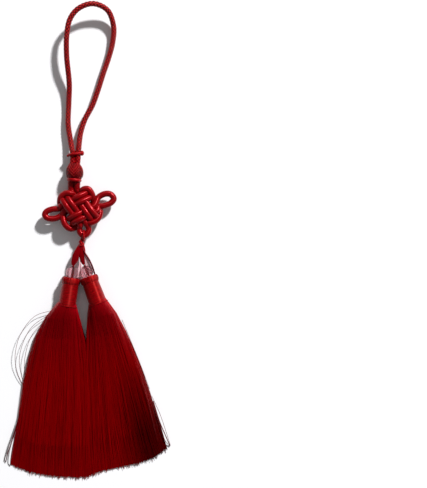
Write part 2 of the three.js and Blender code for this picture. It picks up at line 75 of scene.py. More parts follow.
def make_piece(name, points, quads, tris=(), uv=None, smooth=True):
    """A mesh from arrays. uv holds a pair of numbers a point, and may add the height of
    the weave there as a third, from 0 in a groove to 1 on a ridge. On a skirt the third
    number is the share of painted shade where its fibres turn from the lamp."""
    mesh = bpy.data.meshes.new(name)
    quads = np.asarray(quads, np.int32).reshape(-1, 4)
    tris = np.asarray(tris, np.int32).reshape(-1, 3)
    loops = np.concatenate([quads.ravel(), tris.ravel()])
    sizes = np.concatenate([np.full(len(quads), 4), np.full(len(tris), 3)])
    mesh.vertices.add(len(points))
    mesh.vertices.foreach_set("co", in_frame(points).astype(np.float32).ravel())
    mesh.loops.add(len(loops))
    mesh.loops.foreach_set("vertex_index", loops)
    mesh.polygons.add(len(sizes))
    mesh.polygons.foreach_set("loop_start", np.concatenate([[0], np.cumsum(sizes)[:-1]]))
    mesh.polygons.foreach_set("loop_total", sizes)
    if uv is not None:
        uv = np.asarray(uv, np.float32)
        layer = mesh.uv_layers.new(name="yarn")
        layer.data.foreach_set("uv", uv[loops, :2].ravel())
        if uv.shape[1] > 2:
            height = mesh.attributes.new("height", "FLOAT", "POINT")
            height.data.foreach_set("value", uv[:, 2].copy())
    mesh.update(calc_edges=True)
    mesh.validate()
    mesh.polygons.foreach_set("use_smooth", np.full(len(mesh.polygons), smooth))
    piece = bpy.data.objects.new(name, mesh)
    bpy.context.scene.collection.objects.link(piece)
    return piece


def dress(piece, material, slot, *nodes):
    """The piece gets its finish, rides on the one body and stands for its CAD nodes."""
    piece.data.materials.append(material)
    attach(piece, "root")
    if nodes:
        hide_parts(*nodes)
    return piece


# %% [markdown]
# Every cord follows a smooth line through a few points, the same kind of line as in the
# CAD. Points are then spaced evenly along it, and a frame is carried from one to the next
# without twisting, so that a pattern drawn round the cord stays straight.

# %% Lines and sweeps
def lengths_along(line):
    """How far along a line each of its points lies."""
    return np.concatenate([[0], np.cumsum(np.linalg.norm(np.diff(line, axis=0), axis=1))])


def full_turn(count):
    """Angles spaced evenly round a circle, in radians."""
    return np.arange(count) / count * 2 * np.pi


def smooth_line(points, spacing):
    """Evenly spaced points on the centripetal curve through the given ones."""
    p = np.asarray(points, float)
    p = np.vstack([2 * p[0] - p[1], p, 2 * p[-1] - p[-2]])
    fine = []
    for i in range(1, len(p) - 2):
        a, b, c, d = p[i - 1:i + 3]
        ta, tb, tc = (max(np.linalg.norm(q - r) ** 0.5, 1e-6)
                      for q, r in ((b, a), (c, b), (d, c)))
        m1 = ((b - a) / ta - (c - a) / (ta + tb) + (c - b) / tb) * tb
        m2 = ((c - b) / tb - (d - b) / (tb + tc) + (d - c) / tc) * tb
        t = np.linspace(0, 1, 33)[:-1, None]
        fine.append((2 * t**3 - 3 * t**2 + 1) * b + (t**3 - 2 * t**2 + t) * m1
                    + (3 * t**2 - 2 * t**3) * c + (t**3 - t**2) * m2)
    fine = np.vstack([*fine, p[-2]])
    along = lengths_along(fine)
    count = max(2, round(along[-1] / spacing)) + 1
    at = np.linspace(0, along[-1], count)
    return np.stack([np.interp(at, along, fine[:, k]) for k in range(3)], 1)


def carried_frames(line, first=(0, 0, 1)):
    """Tangents and two side directions at each point, carried along without twist."""
    tangent = np.gradient(line, axis=0)
    tangent /= np.linalg.norm(tangent, axis=1, keepdims=True)
    side = np.empty_like(line)
    last = np.asarray(first, float)
    for i, t in enumerate(tangent):
        last = last - t * last.dot(t)
        last /= np.linalg.norm(last)
        side[i] = last
    return tangent, side, np.cross(tangent, side)


def sweep(line, radius, sides, relief=None, joined=False, first=(0, 0, 1), capped=True):
    """Tube round a line. relief(along, around) is added to the radius, in mm.
    Returns points, quads, tris and uv, where uv is along and around in mm."""
    _, up, across = carried_frames(line, first)
    along = lengths_along(line)
    turn = full_turn(sides)
    radius = np.broadcast_to(np.asarray(radius, float).reshape(-1, 1), (len(line), sides))
    raised = relief(along[:, None], turn[None, :]) if relief else np.zeros_like(radius)
    radius = radius + raised
    ring = (up[:, None] * np.cos(turn)[None, :, None]
            + across[:, None] * np.sin(turn)[None, :, None])
    points = (line[:, None] + ring * radius[..., None]).reshape(-1, 3)
    uv = np.stack(np.broadcast_arrays(along[:, None], turn[None, :] * radius.mean(),
                                      as_height(raised)), -1)
    return (points, *grid_faces(len(line), sides, joined, capped), uv.reshape(-1, 3))


def as_height(raised):
    """Relief as a share of its own range."""
    span = raised.max() - raised.min()
    return (raised - raised.min()) / span if span > 0 else raised + 1


def grid_faces(rows, sides, joined=False, capped=True):
    """Quads of a tube of rings, and the flat fans that close its ends."""
    i = np.arange(rows if joined else rows - 1)[:, None]
    j = np.arange(sides)[None, :]
    nxt, k = (i + 1) % rows * sides, (j + 1) % sides
    quads = np.stack(np.broadcast_arrays(
        i * sides + j, i * sides + k, nxt + k, nxt + j), -1).reshape(-1, 4)
    if joined or not capped:
        return quads, np.empty((0, 3), int)
    j = np.arange(1, sides - 1)
    last = (rows - 1) * sides
    start = np.stack([0 * j, j + 1, j], 1)
    end = np.stack([last + 0 * j, last + j, last + j + 1], 1)
    return quads, np.vstack([start, end])


def gathered(parts):
    """Several (points, quads, tris, uv) as one."""
    points, quads, tris, uv, base = [], [], [], [], 0
    for p, q, t, c in parts:
        points.append(p)
        quads.append(np.asarray(q) + base)
        tris.append(np.asarray(t) + base)
        uv.append(c)
        base += len(p)
    return np.vstack(points), np.vstack(quads), np.vstack(tris), np.vstack(uv)


# %% [markdown]
# Colours are read as sRGB hex values, the way a dyer's card gives them, and turned to the
# linear light that a shader works in. One small function adds a shader node, sets its
# values and links its inputs, so a material reads as a short list.

# %% Colour and shader helpers
def linear(hex_colour):
    """sRGB hex to linear RGBA."""
    channels = [int(hex_colour[i:i + 2], 16) / 255 for i in (1, 3, 5)]
    return [c / 12.92 if c <= 0.04045 else ((c + 0.055) / 1.055) ** 2.4 for c in channels] + [1]


def new_material(name):
    material = bpy.data.materials.new(name)
    material.use_nodes = True
    nodes = material.node_tree.nodes
    return material, nodes["Principled BSDF"]


def add_node(material, kind, settings=None, **inputs):
    """A node of that kind; inputs are values, or output sockets to link."""
    node = material.node_tree.nodes.new(kind)
    for key, value in (settings or {}).items():
        setattr(node, key, value)
    for key, value in inputs.items():
        socket = node.inputs[int(key[1:]) if key[1:].isdigit() else key.replace("_", " ")]
        if isinstance(value, bpy.types.NodeSocket):
            material.node_tree.links.new(value, socket)
        else:
            socket.default_value = value
    return node


def connect(material, output, socket):
    material.node_tree.links.new(output, socket)


def set_values(shader, **values):
    """Values that are the same all over a surface sit on the shader's own sockets."""
    for key, value in values.items():
        shader.inputs[key.replace("_", " ")].default_value = value


def colour_steps(node, *steps):
    """Stops of a colour ramp: pairs of position and sRGB hex colour."""
    ramp = node.color_ramp
    while len(ramp.elements) < len(steps):
        ramp.elements.new(0.5)
    for element, (position, colour) in zip(ramp.elements, steps):
        element.position = position
        element.color = linear(colour)


# %% [markdown]
# The camera looks straight down, as the photograph does, and the ornament lies in the left
# part of the frame. The picture is 427 by 488 and a pixel is 0.6 mm. A long lens a good way
# up keeps the cord and the skirts in plain view, with hardly any perspective.

# %% Camera
PIXEL_MM = 0.6
PHOTO = {"wide": 427, "high": 488, "heart_x": 79.0, "heart_y": 210.0}
LENS_MM = 85.0
SENSOR_MM = 36.0
SUBJECT_HEIGHT = 0.005    # metres above the table, where a pixel is PIXEL_MM wide

centre = in_frame([(PHOTO["wide"] / 2 - PHOTO["heart_x"]) * PIXEL_MM,
                   (PHOTO["heart_y"] - PHOTO["high"] / 2) * PIXEL_MM, 0])
distance = PHOTO["high"] * PIXEL_MM * MM * LENS_MM / SENSOR_MM + SUBJECT_HEIGHT
camera_data = bpy.data.cameras.new("camera")
camera_data.lens = LENS_MM
camera_data.sensor_width = SENSOR_MM
camera_data.clip_end = 10.0
camera = bpy.data.objects.new("camera", camera_data)
camera.location = (centre[0], centre[1], distance)
bpy.context.scene.collection.objects.link(camera)
bpy.context.scene.camera = camera
print("camera", round(distance, 3), "m above the table")

# %% [markdown]
# The hanging loop is a round braid, 3.2 mm across. Ten yarns run round it, half one way
# and half the other, each over one and under one, which gives the small dots that sparkle
# along it. A displaced tube can carry that weave: the height of a point is that of
# whichever yarn lies on top there. The braid is drawn as geometry, so that it survives a
# close look, and a fine bump along each yarn stands for its filaments.

# %% Braided cord
CORD_MM = 3.2
BRAID = {"each_way": 5, "lay_mm": 10.5, "height_mm": 0.42, "mean": 0.72}
DIP = 0.35    # how far a yarn dips, as a share, beside the place where it goes under


def woven_height(right, left):
    """Height from 0 to 1 where yarns cross; right and left count them in each direction.
    The yarn on top is round, and it dips towards the places where it goes under."""
    dome_right = 1 - (2 * (right - np.floor(right)) - 1) ** 2
    dome_left = 1 - (2 * (left - np.floor(left)) - 1) ** 2
    on_top = np.mod(np.floor(right) + np.floor(left), 2) < 1
    over = np.where(on_top, dome_right, dome_left)
    under = np.where(on_top, dome_left, dome_right)
    return np.sqrt(over) * (1 - DIP + DIP * under)


def braid_relief(along, around):
    """A round braid: over one and under one, in both directions."""
    turns = around / (2 * np.pi) * BRAID["each_way"]
    rise = along / BRAID["lay_mm"] * BRAID["each_way"]
    return BRAID["height_mm"] * (woven_height(turns + rise, turns - rise) - BRAID["mean"])


LOOP_MM = [
    (-3.9, 35.1, 5.2), (-5.4, 42.5, 3.6), (-6.8, 52.0, 3.0), (-6.4, 64.5, 3.0),
    (-5.9, 76.0, 4.7), (-7.0, 92.4, 8.6), (-6.6, 104.8, 10.4), (-4.6, 113.6, 10.9),
    (0.4, 119.8, 10.8), (9.0, 122.9, 9.4), (17.2, 119.6, 6.4), (20.6, 110.4, 3.2),
    (19.9, 100.7, 2.6), (17.4, 91.4, 2.4), (14.4, 82.6, 2.4), (11.0, 72.0, 2.4),
    (7.8, 63.2, 2.5), (3.4, 54.8, 2.9), (0.8, 46.4, 3.6), (-0.4, 35.1, 5.2),
]
loop_line = smooth_line(LOOP_MM, 0.18)

# %% [markdown]
# Braided cord of this kind is polyester filament, dyed crimson. Filament yarn is shiny:
# each yarn throws a soft highlight where it comes up out of the braid and goes dark where
# it dives, and the colour is painted to follow the height of the weave: painted highlight
# on the ridges and painted shade in the grooves. Real filaments are finer
# than 0.05 mm, so the bump draws them as lines a few to the millimetre, which still show.

# %% Braided polyester
PAINTED_HIGHLIGHT_POWER = 3.0      # the painted highlight keeps to the very top of each yarn
UNEVEN_YARN = 0.7      # how much the shade wanders, in patches about 1 mm long


def braided_polyester(name, groove, flank, crest, shine=0.55):
    """Dyed filament in a round braid: glossy ridges with a painted highlight, and grooves darkened
    with painted shade.
    """
    material, shader = new_material(name)
    uv = add_node(material, "ShaderNodeUVMap", {"uv_map": "yarn"}).outputs["UV"]
    height = add_node(material, "ShaderNodeAttribute", {"attribute_name": "height"})
    painted_highlight_crests = add_node(material, "ShaderNodeMath", {"operation": "POWER"},
                      _0=height.outputs["Fac"], _1=PAINTED_HIGHLIGHT_POWER)
    filament = add_node(material, "ShaderNodeTexNoise", Scale=1.1, Detail=4.0, Vector=uv)
    uneven = add_node(material, "ShaderNodeMath", {"operation": "MULTIPLY_ADD"},
                      _0=filament.outputs["Fac"], _1=UNEVEN_YARN, _2=-UNEVEN_YARN / 2)
    total = add_node(material, "ShaderNodeMath", {"operation": "ADD"},
                     _0=painted_highlight_crests.outputs["Value"], _1=uneven.outputs["Value"])
    # Painted highlight on the ridges of the yarns and painted shade in the grooves, from the
    # height of the weave.
    shade = add_node(material, "ShaderNodeValToRGB", Fac=total.outputs["Value"])
    colour_steps(shade, (0.12, groove), (0.42, flank), (0.9, crest))
    connect(material, shade.outputs["Color"], shader.inputs["Base Color"])
    lines = add_node(material, "ShaderNodeTexWave", {"bands_direction": "DIAGONAL"},
                     Scale=1.6, Distortion=1.5, Vector=uv)
    bump = add_node(material, "ShaderNodeBump", Strength=0.3, Distance=0.0001,
                    Height=lines.outputs["Fac"])
    connect(material, bump.outputs["Normal"], shader.inputs["Normal"])
    set_values(shader, Roughness=0.26, IOR=1.54, Specular_Tint=linear("#ff7470"),
               Specular_IOR_Level=shine)
    return material


loop_cord = braided_polyester("braided_polyester", "#220001", "#500003", "#d41016")
hanging_loop = make_piece("loop_of_cord", *sweep(loop_line, CORD_MM / 2, 48, braid_relief))
dress(hanging_loop, loop_cord, "loop_cord", "hanging_loop")
in_frame(smooth_line(LOOP_MM, 2.0))

# %% [markdown]
# The button knot is the same cord tied into a barrel. On the outside it shows as ridges
# that meet in chevrons. A turned surface with those ridges raised on it has the true
# outline, and it costs far less than threading a cord through itself.

# %% Button knot
BUTTON = {"x": -2.6, "top": 27.9, "length": 9.4, "z": 5.4, "plaits": 4,
          "strands": 4.5, "slant": 2.1, "ridge_mm": 0.34,
          "yarns": 20, "yarn_pitch": 1.7, "yarn_mm": 0.26}
BARREL = np.array([   # share of the length, radius in mm
    (0.0, 3.0), (0.12, 3.7), (0.3, 4.7), (0.5, 5.15), (0.7, 5.2), (0.86, 4.8), (1.0, 3.9)])


def button_barrel(rows=130, around=240):
    at = np.linspace(0, 1, rows)[:, None]
    turn = np.arange(around)[None, :] / around
    plait = turn * BUTTON["plaits"] + 0.5
    slant = np.abs(2 * (plait - np.floor(plait)) - 1)
    strand = np.abs(np.cos(np.pi * (at * BUTTON["strands"] + slant * BUTTON["slant"])))
    across, along = turn * BUTTON["yarns"], at * BUTTON["length"] / BUTTON["yarn_pitch"]
    yarns = woven_height(across + along, across - along)
    smooth_radius = np.interp(at, BARREL[:, 0], BARREL[:, 1])
    radius = (smooth_radius + BUTTON["ridge_mm"] * (np.sqrt(strand) - 0.75)
              + BUTTON["yarn_mm"] * (yarns - 0.8))
    angle = turn * 2 * np.pi
    y = BUTTON["top"] - at * BUTTON["length"] + 0 * angle
    points = np.stack([BUTTON["x"] + radius * np.cos(angle), y,
                       BUTTON["z"] + radius * np.sin(angle)], -1).reshape(-1, 3)
    # The finish paints this height as colour: painted shade in the grooves between strands and
    # yarns, painted highlight on their ridges.
    height = yarns * (0.5 + 0.5 * np.sqrt(strand))
    uv = np.stack(np.broadcast_arrays(at * BUTTON["length"], angle * 5, height), -1)
    quads, tris = grid_faces(rows, around)
    return points, quads[:, ::-1], tris[:, ::-1], uv.reshape(-1, 3)


NECK_X, NECK_Z = -2.15, 5.2
NECK_LEG = {"apart": 1.5, "top": 35.3, "bend": 31.2, "foot": 26.6, "radius": 1.66}
neck_parts = []
for side in (-1, 1):
    x = NECK_X + side * NECK_LEG["apart"]
    foot = (BUTTON["x"] + side * 1.45, NECK_LEG["foot"], NECK_Z + 0.1)
    neck_line = smooth_line(
        [(x, NECK_LEG["top"], NECK_Z), (x, NECK_LEG["bend"], NECK_Z), foot], 0.12)
    neck_parts.append(sweep(neck_line, NECK_LEG["radius"], 36, braid_relief))
button = make_piece("button_knot_barrel", *gathered([button_barrel(), *neck_parts]))
knotted = braided_polyester("braid_in_the_knot", "#300002", "#660004", "#d40c14", 0.25)
dress(button, knotted, "loop_cord", "button_knot")
print("button knot:", len(button.data.polygons), "faces")

# %% [markdown]
# The last turn of the button knot closes it like a ring. It is pulled so tight that its
# braid lies flat, so it is a smooth torus in a plainer and darker version of the finish.

# %% Last turn of the button knot
LAST_TURN = {"x": -2.9, "y": 18.0, "z": 5.4, "radius": 3.35, "tilt_deg": -6,
             "cord_radius": 1.12}


def ring_line(x, y, z, half_width, half_height, tilt_deg, count):
    """A closed turn of cord that stands across the ornament, tilted by some degrees."""
    a = full_turn(count)
    tilt = math.radians(tilt_deg)
    flat = half_width * np.cos(a)
    return np.stack([x + flat * math.cos(tilt), y + flat * math.sin(tilt),
                     z + half_height * np.sin(a)], 1)


turn_line = ring_line(LAST_TURN["x"], LAST_TURN["y"], LAST_TURN["z"], LAST_TURN["radius"],
                      LAST_TURN["radius"], LAST_TURN["tilt_deg"], 160)
last_turn = make_piece("button_knot_last_turn", *sweep(
    turn_line, LAST_TURN["cord_radius"], 24, joined=True, first=(0, 1, 0)))
pulled_tight = braided_polyester("braid_pulled_tight", "#560004", "#7c0006", "#900610", 0.4)
dress(last_turn, pulled_tight, "loop_cord", "button_knot")
print("last turn:", round(lengths_along(turn_line)[-1], 1), "mm of cord")

# %% [markdown]
# The collar and the tie are thin cord, laid up from twisted plies of filament. A relief
# that winds round the tube gives those plies, so that their edges catch the light, and the
# colour is painted to follow it: painted highlight on a ply and painted shade in the grooves
# beside it. It is the same dye as the rest, a little darker.

# %% Twisted thread
UNEVEN_PLY = 0.4    # how much the shade wanders, in patches of a quarter of a millimetre


def twisted_thread(name, dark, light):
    """Plied filament thread: glossier along the plies, with painted highlight on them and
    painted shade in the grooves.
    """
    material, shader = new_material(name)
    uv = add_node(material, "ShaderNodeUVMap", {"uv_map": "yarn"}).outputs["UV"]
    height = add_node(material, "ShaderNodeAttribute", {"attribute_name": "height"})
    fibre = add_node(material, "ShaderNodeTexNoise", Scale=4.0, Detail=3.0, Vector=uv)
    uneven = add_node(material, "ShaderNodeMath", {"operation": "MULTIPLY_ADD"},
                      _0=fibre.outputs["Fac"], _1=UNEVEN_PLY, _2=-UNEVEN_PLY / 2)
    total = add_node(material, "ShaderNodeMath", {"operation": "ADD"},
                     _0=height.outputs["Fac"], _1=uneven.outputs["Value"])
    # Painted highlight on the plies and painted shade in the grooves between them, from the height
    # of the relief.
    shade = add_node(material, "ShaderNodeValToRGB", Fac=total.outputs["Value"])
    colour_steps(shade, (0.1, dark), (0.9, light))
    connect(material, shade.outputs["Color"], shader.inputs["Base Color"])
    bump = add_node(material, "ShaderNodeBump", Strength=0.25, Distance=0.0001,
                    Height=fibre.outputs["Fac"])
    connect(material, bump.outputs["Normal"], shader.inputs["Normal"])
    set_values(shader, Roughness=0.34, IOR=1.54, Specular_Tint=linear("#ff5c60"),
               Specular_IOR_Level=0.5)
    return material


def twisted_relief(plies, lay_mm, height_mm):
    """Height of a cord laid up from twisted plies."""
    def relief(along, around):
        phase = plies / 2 * (around - 2 * np.pi * along / lay_mm)
        return height_mm * (np.abs(np.cos(phase)) - 0.6)
    return relief


thin_cord = twisted_thread("twisted_thread", "#3a0003", "#a0020a")

# %% [markdown]
# The upper collar is tied once round the neck. Its knot shows as a knob on the right and
# its tail sticks out on the left. Two small rings pressed into each other make the knob,
# as that is all that shows of a knot this tight.

# %% Upper collar
COLLAR = {"x": -2.2, "y": 33.5, "half_width": 3.75, "half_height": 2.5, "tilt_deg": 7,
          "radius": 0.8, "tail_radius": 0.7}
KNOB = {"tilts_deg": (18, 78), "half_width": 0.7, "half_length": 0.95, "radius": 0.62}
ply = twisted_relief(3, 2.6, 0.1)
collar_ring = ring_line(COLLAR["x"], COLLAR["y"], NECK_Z, COLLAR["half_width"],
                        COLLAR["half_height"], COLLAR["tilt_deg"], 180)
right_end = COLLAR["x"] + COLLAR["half_width"]
knob_centre = np.array([right_end + 0.25, COLLAR["y"] + 0.55, NECK_Z + 0.3])
a = full_turn(60)
flat = KNOB["half_width"] * np.cos(a)
knob_parts = []
for tilt_deg in KNOB["tilts_deg"]:
    tilt = math.radians(tilt_deg)
    knob_loop = np.stack([flat * math.cos(tilt), KNOB["half_length"] * np.sin(a),
                          flat * math.sin(tilt)], 1)
    knob_parts.append(sweep(knob_centre + knob_loop, KNOB["radius"], 16, ply, joined=True,
                            first=(math.cos(tilt), 0, math.sin(tilt))))
left_end = COLLAR["x"] - COLLAR["half_width"]
tail_line = smooth_line([
    (left_end + 0.3, COLLAR["y"] - 0.5, NECK_Z + 0.4),
    (left_end - 0.4, COLLAR["y"] - 0.8, NECK_Z + 0.5),
    (left_end - 0.9, COLLAR["y"] - 1.4, NECK_Z + 0.3)], 0.12)
collar = make_piece("upper_collar_tie", *gathered([
    sweep(collar_ring, COLLAR["radius"], 20, ply, joined=True, first=(0, 1, 0)),
    *knob_parts, sweep(tail_line, COLLAR["tail_radius"], 16, ply)]))
dress(collar, thin_cord, "thin_cord", "upper_collar")
print("collar:", round(lengths_along(collar_ring)[-1], 1), "mm round the neck")

# %% [markdown]
# The flower knot is one length of satin cord, crossed in doubled strands. Each arm runs
# over the front, turns over the edge and comes back behind. Tight lobes join the arms, and
# three of them end in open ears. The path is the CAD's own, followed here in fine steps,
# because a knot only looks right when every strand really goes over and under.

# %% Path of the flower knot
WEAVE = {"u_deg": 27, "v_deg": 125.5, "x": 0.4, "y": 1.1, "pitch": 3.5, "swell": 1.25,
         "front_reach": 4.2, "edge": 3.6, "bulge": 1.6, "back_reach": 2.6}
SOUTH, EAST, NORTH, WEST = range(4)
OUTER, INNER = -1, 1
PAIR = (3.75, 4.6)    # how far the pairs lie from the heart: upright arms, level arms
LEVEL = {"back": 3.05, "front": 7.7, "ear": 5.2, "neck": 4.1, "entry": 6.7, "over": 7.5,
         "under": 3.25, "exit": 3.55}
LOBES = {             # x, y in mm and the share of the rise from the back to the front
    "west": [(-10.7, 1.7, 0.15), (-11.4, 4.6, 0.5), (-10.4, 8.0, 0.8), (-7.7, 9.9, 0.95),
             (-4.6, 9.9, 1.0)],
    "south": [(-2.3, -10.3, 0.2), (-5.2, -11.2, 0.6), (-8.1, -8.9, 0.8), (-9.3, -5.6, 0.7),
              (-9.2, -2.4, 0.3)],
    "east": [(12.3, 0.2, 0.15), (12.5, -3.3, 0.5), (10.4, -6.3, 0.75), (7.4, -7.7, 0.8),
             (4.6, -7.4, 0.5)],
    "north": [(1.2, 10.9, 0.35), (3.2, 12.5, 0.7), (5.7, 12.5, 0.8), (7.6, 10.2, 0.7),
              (8.5, 6.4, 0.35), (8.2, 3.0, 0.1)],
}
EAST_EAR = [(11.7, 1.9), (15.5, 2.7), (19.2, 4.3), (20.9, 6.8), (19.0, 9.4),
            (15.7, 9.7), (11.7, 7.6)]
WEST_EAR = [(-12.2, 0.9), (-16.0, 0.5), (-19.4, -0.9), (-20.5, -3.0), (-18.8, -4.9),
            (-15.0, -5.2), (-10.8, -3.5)]
SOUTH_EAR = [(0.3, -11.0), (0.7, -13.6), (3.0, -15.4), (5.2, -13.9), (5.9, -10.9)]
NECK_ENDS = {"y": 16.0, "left": -4.8, "right": -1.1, "bend_y": 12.0, "bend_z": 4.3}
SATIN_RADIUS = 1.85     # a little over the CAD's, as soft strands press flat on each other


def woven(u, v, z, quarter):
    """A point of the weave, turned by quarters about the heart of the knot."""
    u, v = [(u, v), (-v, u), (-u, -v), (v, -u)][quarter]
    eu, ev = math.radians(WEAVE["u_deg"]), math.radians(WEAVE["v_deg"])
    return (WEAVE["x"] + u * math.cos(eu) + v * math.cos(ev),
            WEAVE["y"] + u * math.sin(eu) + v * math.sin(ev), z)


def arm(quarter, side):
    """One strand of an arm: in over the front, round the far edge and back behind."""
    u = -PAIR[quarter % 2] + side * WEAVE["pitch"] / 2
    cross = PAIR[(quarter + 1) % 2]
    edge, swell = cross + WEAVE["edge"], WEAVE["swell"]
    front, back = LEVEL["front"], LEVEL["back"]
    entry = LEVEL["neck"] if quarter == NORTH else LEVEL["entry"]
    stations = [
        (-cross - WEAVE["front_reach"], entry), (-cross, front - swell),
        (0, front), (cross, front + swell), (edge, LEVEL["over"]),
        (edge + WEAVE["bulge"], (front + back) / 2), (edge, LEVEL["under"]), (cross, back - swell),
        (0, back), (-cross, back + swell), (-cross - WEAVE["back_reach"], LEVEL["exit"])]
    return [woven(u, v, z, quarter) for v, z in stations]


def lobe(name):
    low, high = LEVEL["back"], LEVEL["front"]
    return [(x, y, low + rise * (high - low)) for x, y, rise in LOBES[name]]


def ear(rows):
    return [(x, y, LEVEL["ear"]) for x, y in rows]


def neck_end(x):
    return [(x, NECK_ENDS["y"] + 1.2, LEVEL["ear"]), (x, NECK_ENDS["y"], LEVEL["ear"]),
            (x, NECK_ENDS["bend_y"], NECK_ENDS["bend_z"])]


knot_points = [
    *neck_end(NECK_ENDS["left"]), *arm(NORTH, INNER), *lobe("west")[::-1], *arm(WEST, OUTER)[::-1],
    *ear(WEST_EAR), *arm(WEST, INNER), *lobe("south")[::-1], *arm(SOUTH, OUTER)[::-1],
    *ear(SOUTH_EAR), *arm(SOUTH, INNER), *lobe("east")[::-1], *arm(EAST, OUTER)[::-1],
    *ear(EAST_EAR), *arm(EAST, INNER), *lobe("north")[::-1], *arm(NORTH, OUTER)[::-1],
    *neck_end(NECK_ENDS["right"])[::-1]]
knot_line = smooth_line(knot_points, 0.35)
print("cord in the flower knot:", round(lengths_along(knot_line)[-1]), "mm")

# %% [markdown]
# Satin cord, or rattail, is a core of strands covered by a fine satin weave. The weave is
# smooth round the cord and broken up along it, so a lamp makes one thin bright line down
# each strand, whichever way the strand runs. The shader's anisotropy does that, with its
# tangent taken from the map that runs along the cord. The threads of the weave lie about
# 0.15 mm apart, and the bump has lines of that width.

# %% Satin rattail cord
def satin_rattail():
    """Woven satin over a core: smooth round the cord, rougher along it, so that the light
    is drawn out into a thin line down each strand."""
    material, shader = new_material("satin_rattail")
    uv = add_node(material, "ShaderNodeUVMap", {"uv_map": "yarn"}).outputs["UV"]
    stretched = add_node(material, "ShaderNodeMapping", Vector=uv, Scale=(0.25, 3.2, 1.0))
    threads = add_node(material, "ShaderNodeTexNoise", Scale=2.2, Detail=3.0,
                       Vector=stretched.outputs["Vector"])
    shade = add_node(material, "ShaderNodeValToRGB", Fac=threads.outputs["Fac"])
    colour_steps(shade, (0.3, "#620002"), (0.7, "#8c0006"))
    connect(material, shade.outputs["Color"], shader.inputs["Base Color"])
    bump = add_node(material, "ShaderNodeBump", Strength=0.12, Distance=0.00005,
                    Height=threads.outputs["Fac"])
    connect(material, bump.outputs["Normal"], shader.inputs["Normal"])
    along = add_node(material, "ShaderNodeTangent", {"direction_type": "UV_MAP", "uv_map": "yarn"})
    connect(material, along.outputs["Tangent"], shader.inputs["Tangent"])
    set_values(shader, Roughness=0.25, Anisotropic=1.0, IOR=1.54,
               Specular_Tint=linear("#ff6068"), Specular_IOR_Level=0.8)
    return material


CORE = {"strands": 7, "height_mm": 0.022, "wander": 0.6, "wander_mm": 9.0}


def satin_relief(along, around):
    """Faint ribs along the cord, where the strands of the core show through the cover."""
    wander = CORE["wander"] * np.sin(along / CORE["wander_mm"])
    return CORE["height_mm"] * np.cos(CORE["strands"] * around + wander)


satin_cord = satin_rattail()
flower = make_piece("flower_knot_cord", *sweep(knot_line, SATIN_RADIUS, 36, satin_relief))
dress(flower, satin_cord, "satin_cord", "flower_knot")
print("flower knot:", len(flower.data.polygons), "faces")

# %% [markdown]
# Between the two knots the cord still shows its braided cover, pulled tight and a little
# ridged. A short braided sleeve lies over each end of the satin cord there.

# %% Braided neck
NECK_STEPS = 26
SLEEVE_MM = 0.05    # how far the sleeve stands off the satin
STRETCHED = 0.5     # the braid is half as high where it is stretched


def tight_relief(along, around):
    return STRETCHED * braid_relief(along, around)


sleeves = []
for end in (knot_line[:NECK_STEPS], knot_line[-NECK_STEPS:]):
    sleeves.append(sweep(smooth_line(end, 0.16), SATIN_RADIUS + SLEEVE_MM, 36, tight_relief))
neck_sleeves = make_piece("flower_knot_neck", *gathered(sleeves))
dress(neck_sleeves, pulled_tight, "loop_cord", "flower_knot")
print("sleeves on the neck:", len(sleeves))

# %% [markdown]
# The tie is silk thread. It is hitched through the bottom ear, knotted once, and spreads
# into two flat bundles of fibre that narrow again to go through the beads. The bundles are
# built from separate fibres over a thin core, because their soft edge is what tells the
# eye that this is floss. A loose thread runs down beside the right one.

# %% Fibres
def fibres(paths, sizes):
    """Three-sided fibres. paths is count x points x 3, and sizes count x points holds how
    far the corners lie from the path, in mm."""
    count, steps, _ = paths.shape
    tangent = np.gradient(paths, axis=1)
    tangent /= np.linalg.norm(tangent, axis=2, keepdims=True)
    side = np.cross(tangent, np.array([0.0, 0.0, 1.0]))
    side /= np.maximum(np.linalg.norm(side, axis=2, keepdims=True), 1e-6)
    up = np.cross(side, tangent)
    corners = []
    for a in (math.pi / 2, math.pi * 7 / 6, math.pi * 11 / 6):
        corners.append(paths + (side * math.cos(a) + up * math.sin(a)) * sizes[..., None])
    points = np.stack(corners, 2).reshape(-1, 3)
    quads, tris = grid_faces(steps, 3)
    base = (np.arange(count) * steps * 3)[:, None, None]
    return points, (quads[None] + base).reshape(-1, 4), (tris[None] + base).reshape(-1, 3)


def fibre_uv(count, steps, rng, reach=1.0):
    """u tells one fibre from the next and v runs from its root to its end, or part way."""
    own = np.repeat(rng.random(count), steps * 3)
    along = np.tile(np.repeat(np.linspace(0, reach, steps), 3), count)
    return np.stack([own, along], 1)


def between(table, at, column):
    """A column of a table read at a value of its first column, which may fall."""
    order = np.argsort([row[0] for row in table])
    return np.interp(at, np.array([row[0] for row in table])[order],
                     np.array([row[column] for row in table])[order])


FLOSS = {"count": 260, "steps": 12, "size": 0.11, "crowding": 0.35, "drift_mm": 0.12}


def floss(rows, rng):
    """Fibres that follow a leg of the tie: x, y, width and thickness at each station. They
    crowd towards the outside of the bundle, and each drifts a little in the middle."""
    count, steps = FLOSS["count"], FLOSS["steps"]
    y = np.linspace(rows[0][1], rows[-1][1], steps)
    by_y = [(row[1], row[0], row[2], row[3]) for row in rows]
    centre_x, wide, thick = (between(by_y, y, c) for c in (1, 2, 3))
    angle = rng.random(count) * 2 * np.pi
    out = rng.random(count) ** FLOSS["crowding"]
    drift = rng.normal(0, FLOSS["drift_mm"], (count, 1))
    drift = drift * np.sin(np.linspace(0, np.pi, steps))[None]
    x = centre_x[None] + (np.cos(angle) * out)[:, None] * wide[None] / 2 + drift
    z = NECK_Z + (np.sin(angle) * out)[:, None] * thick[None] / 2 + 0 * x
    return np.stack([x, y[None] + 0 * x, z], 2)
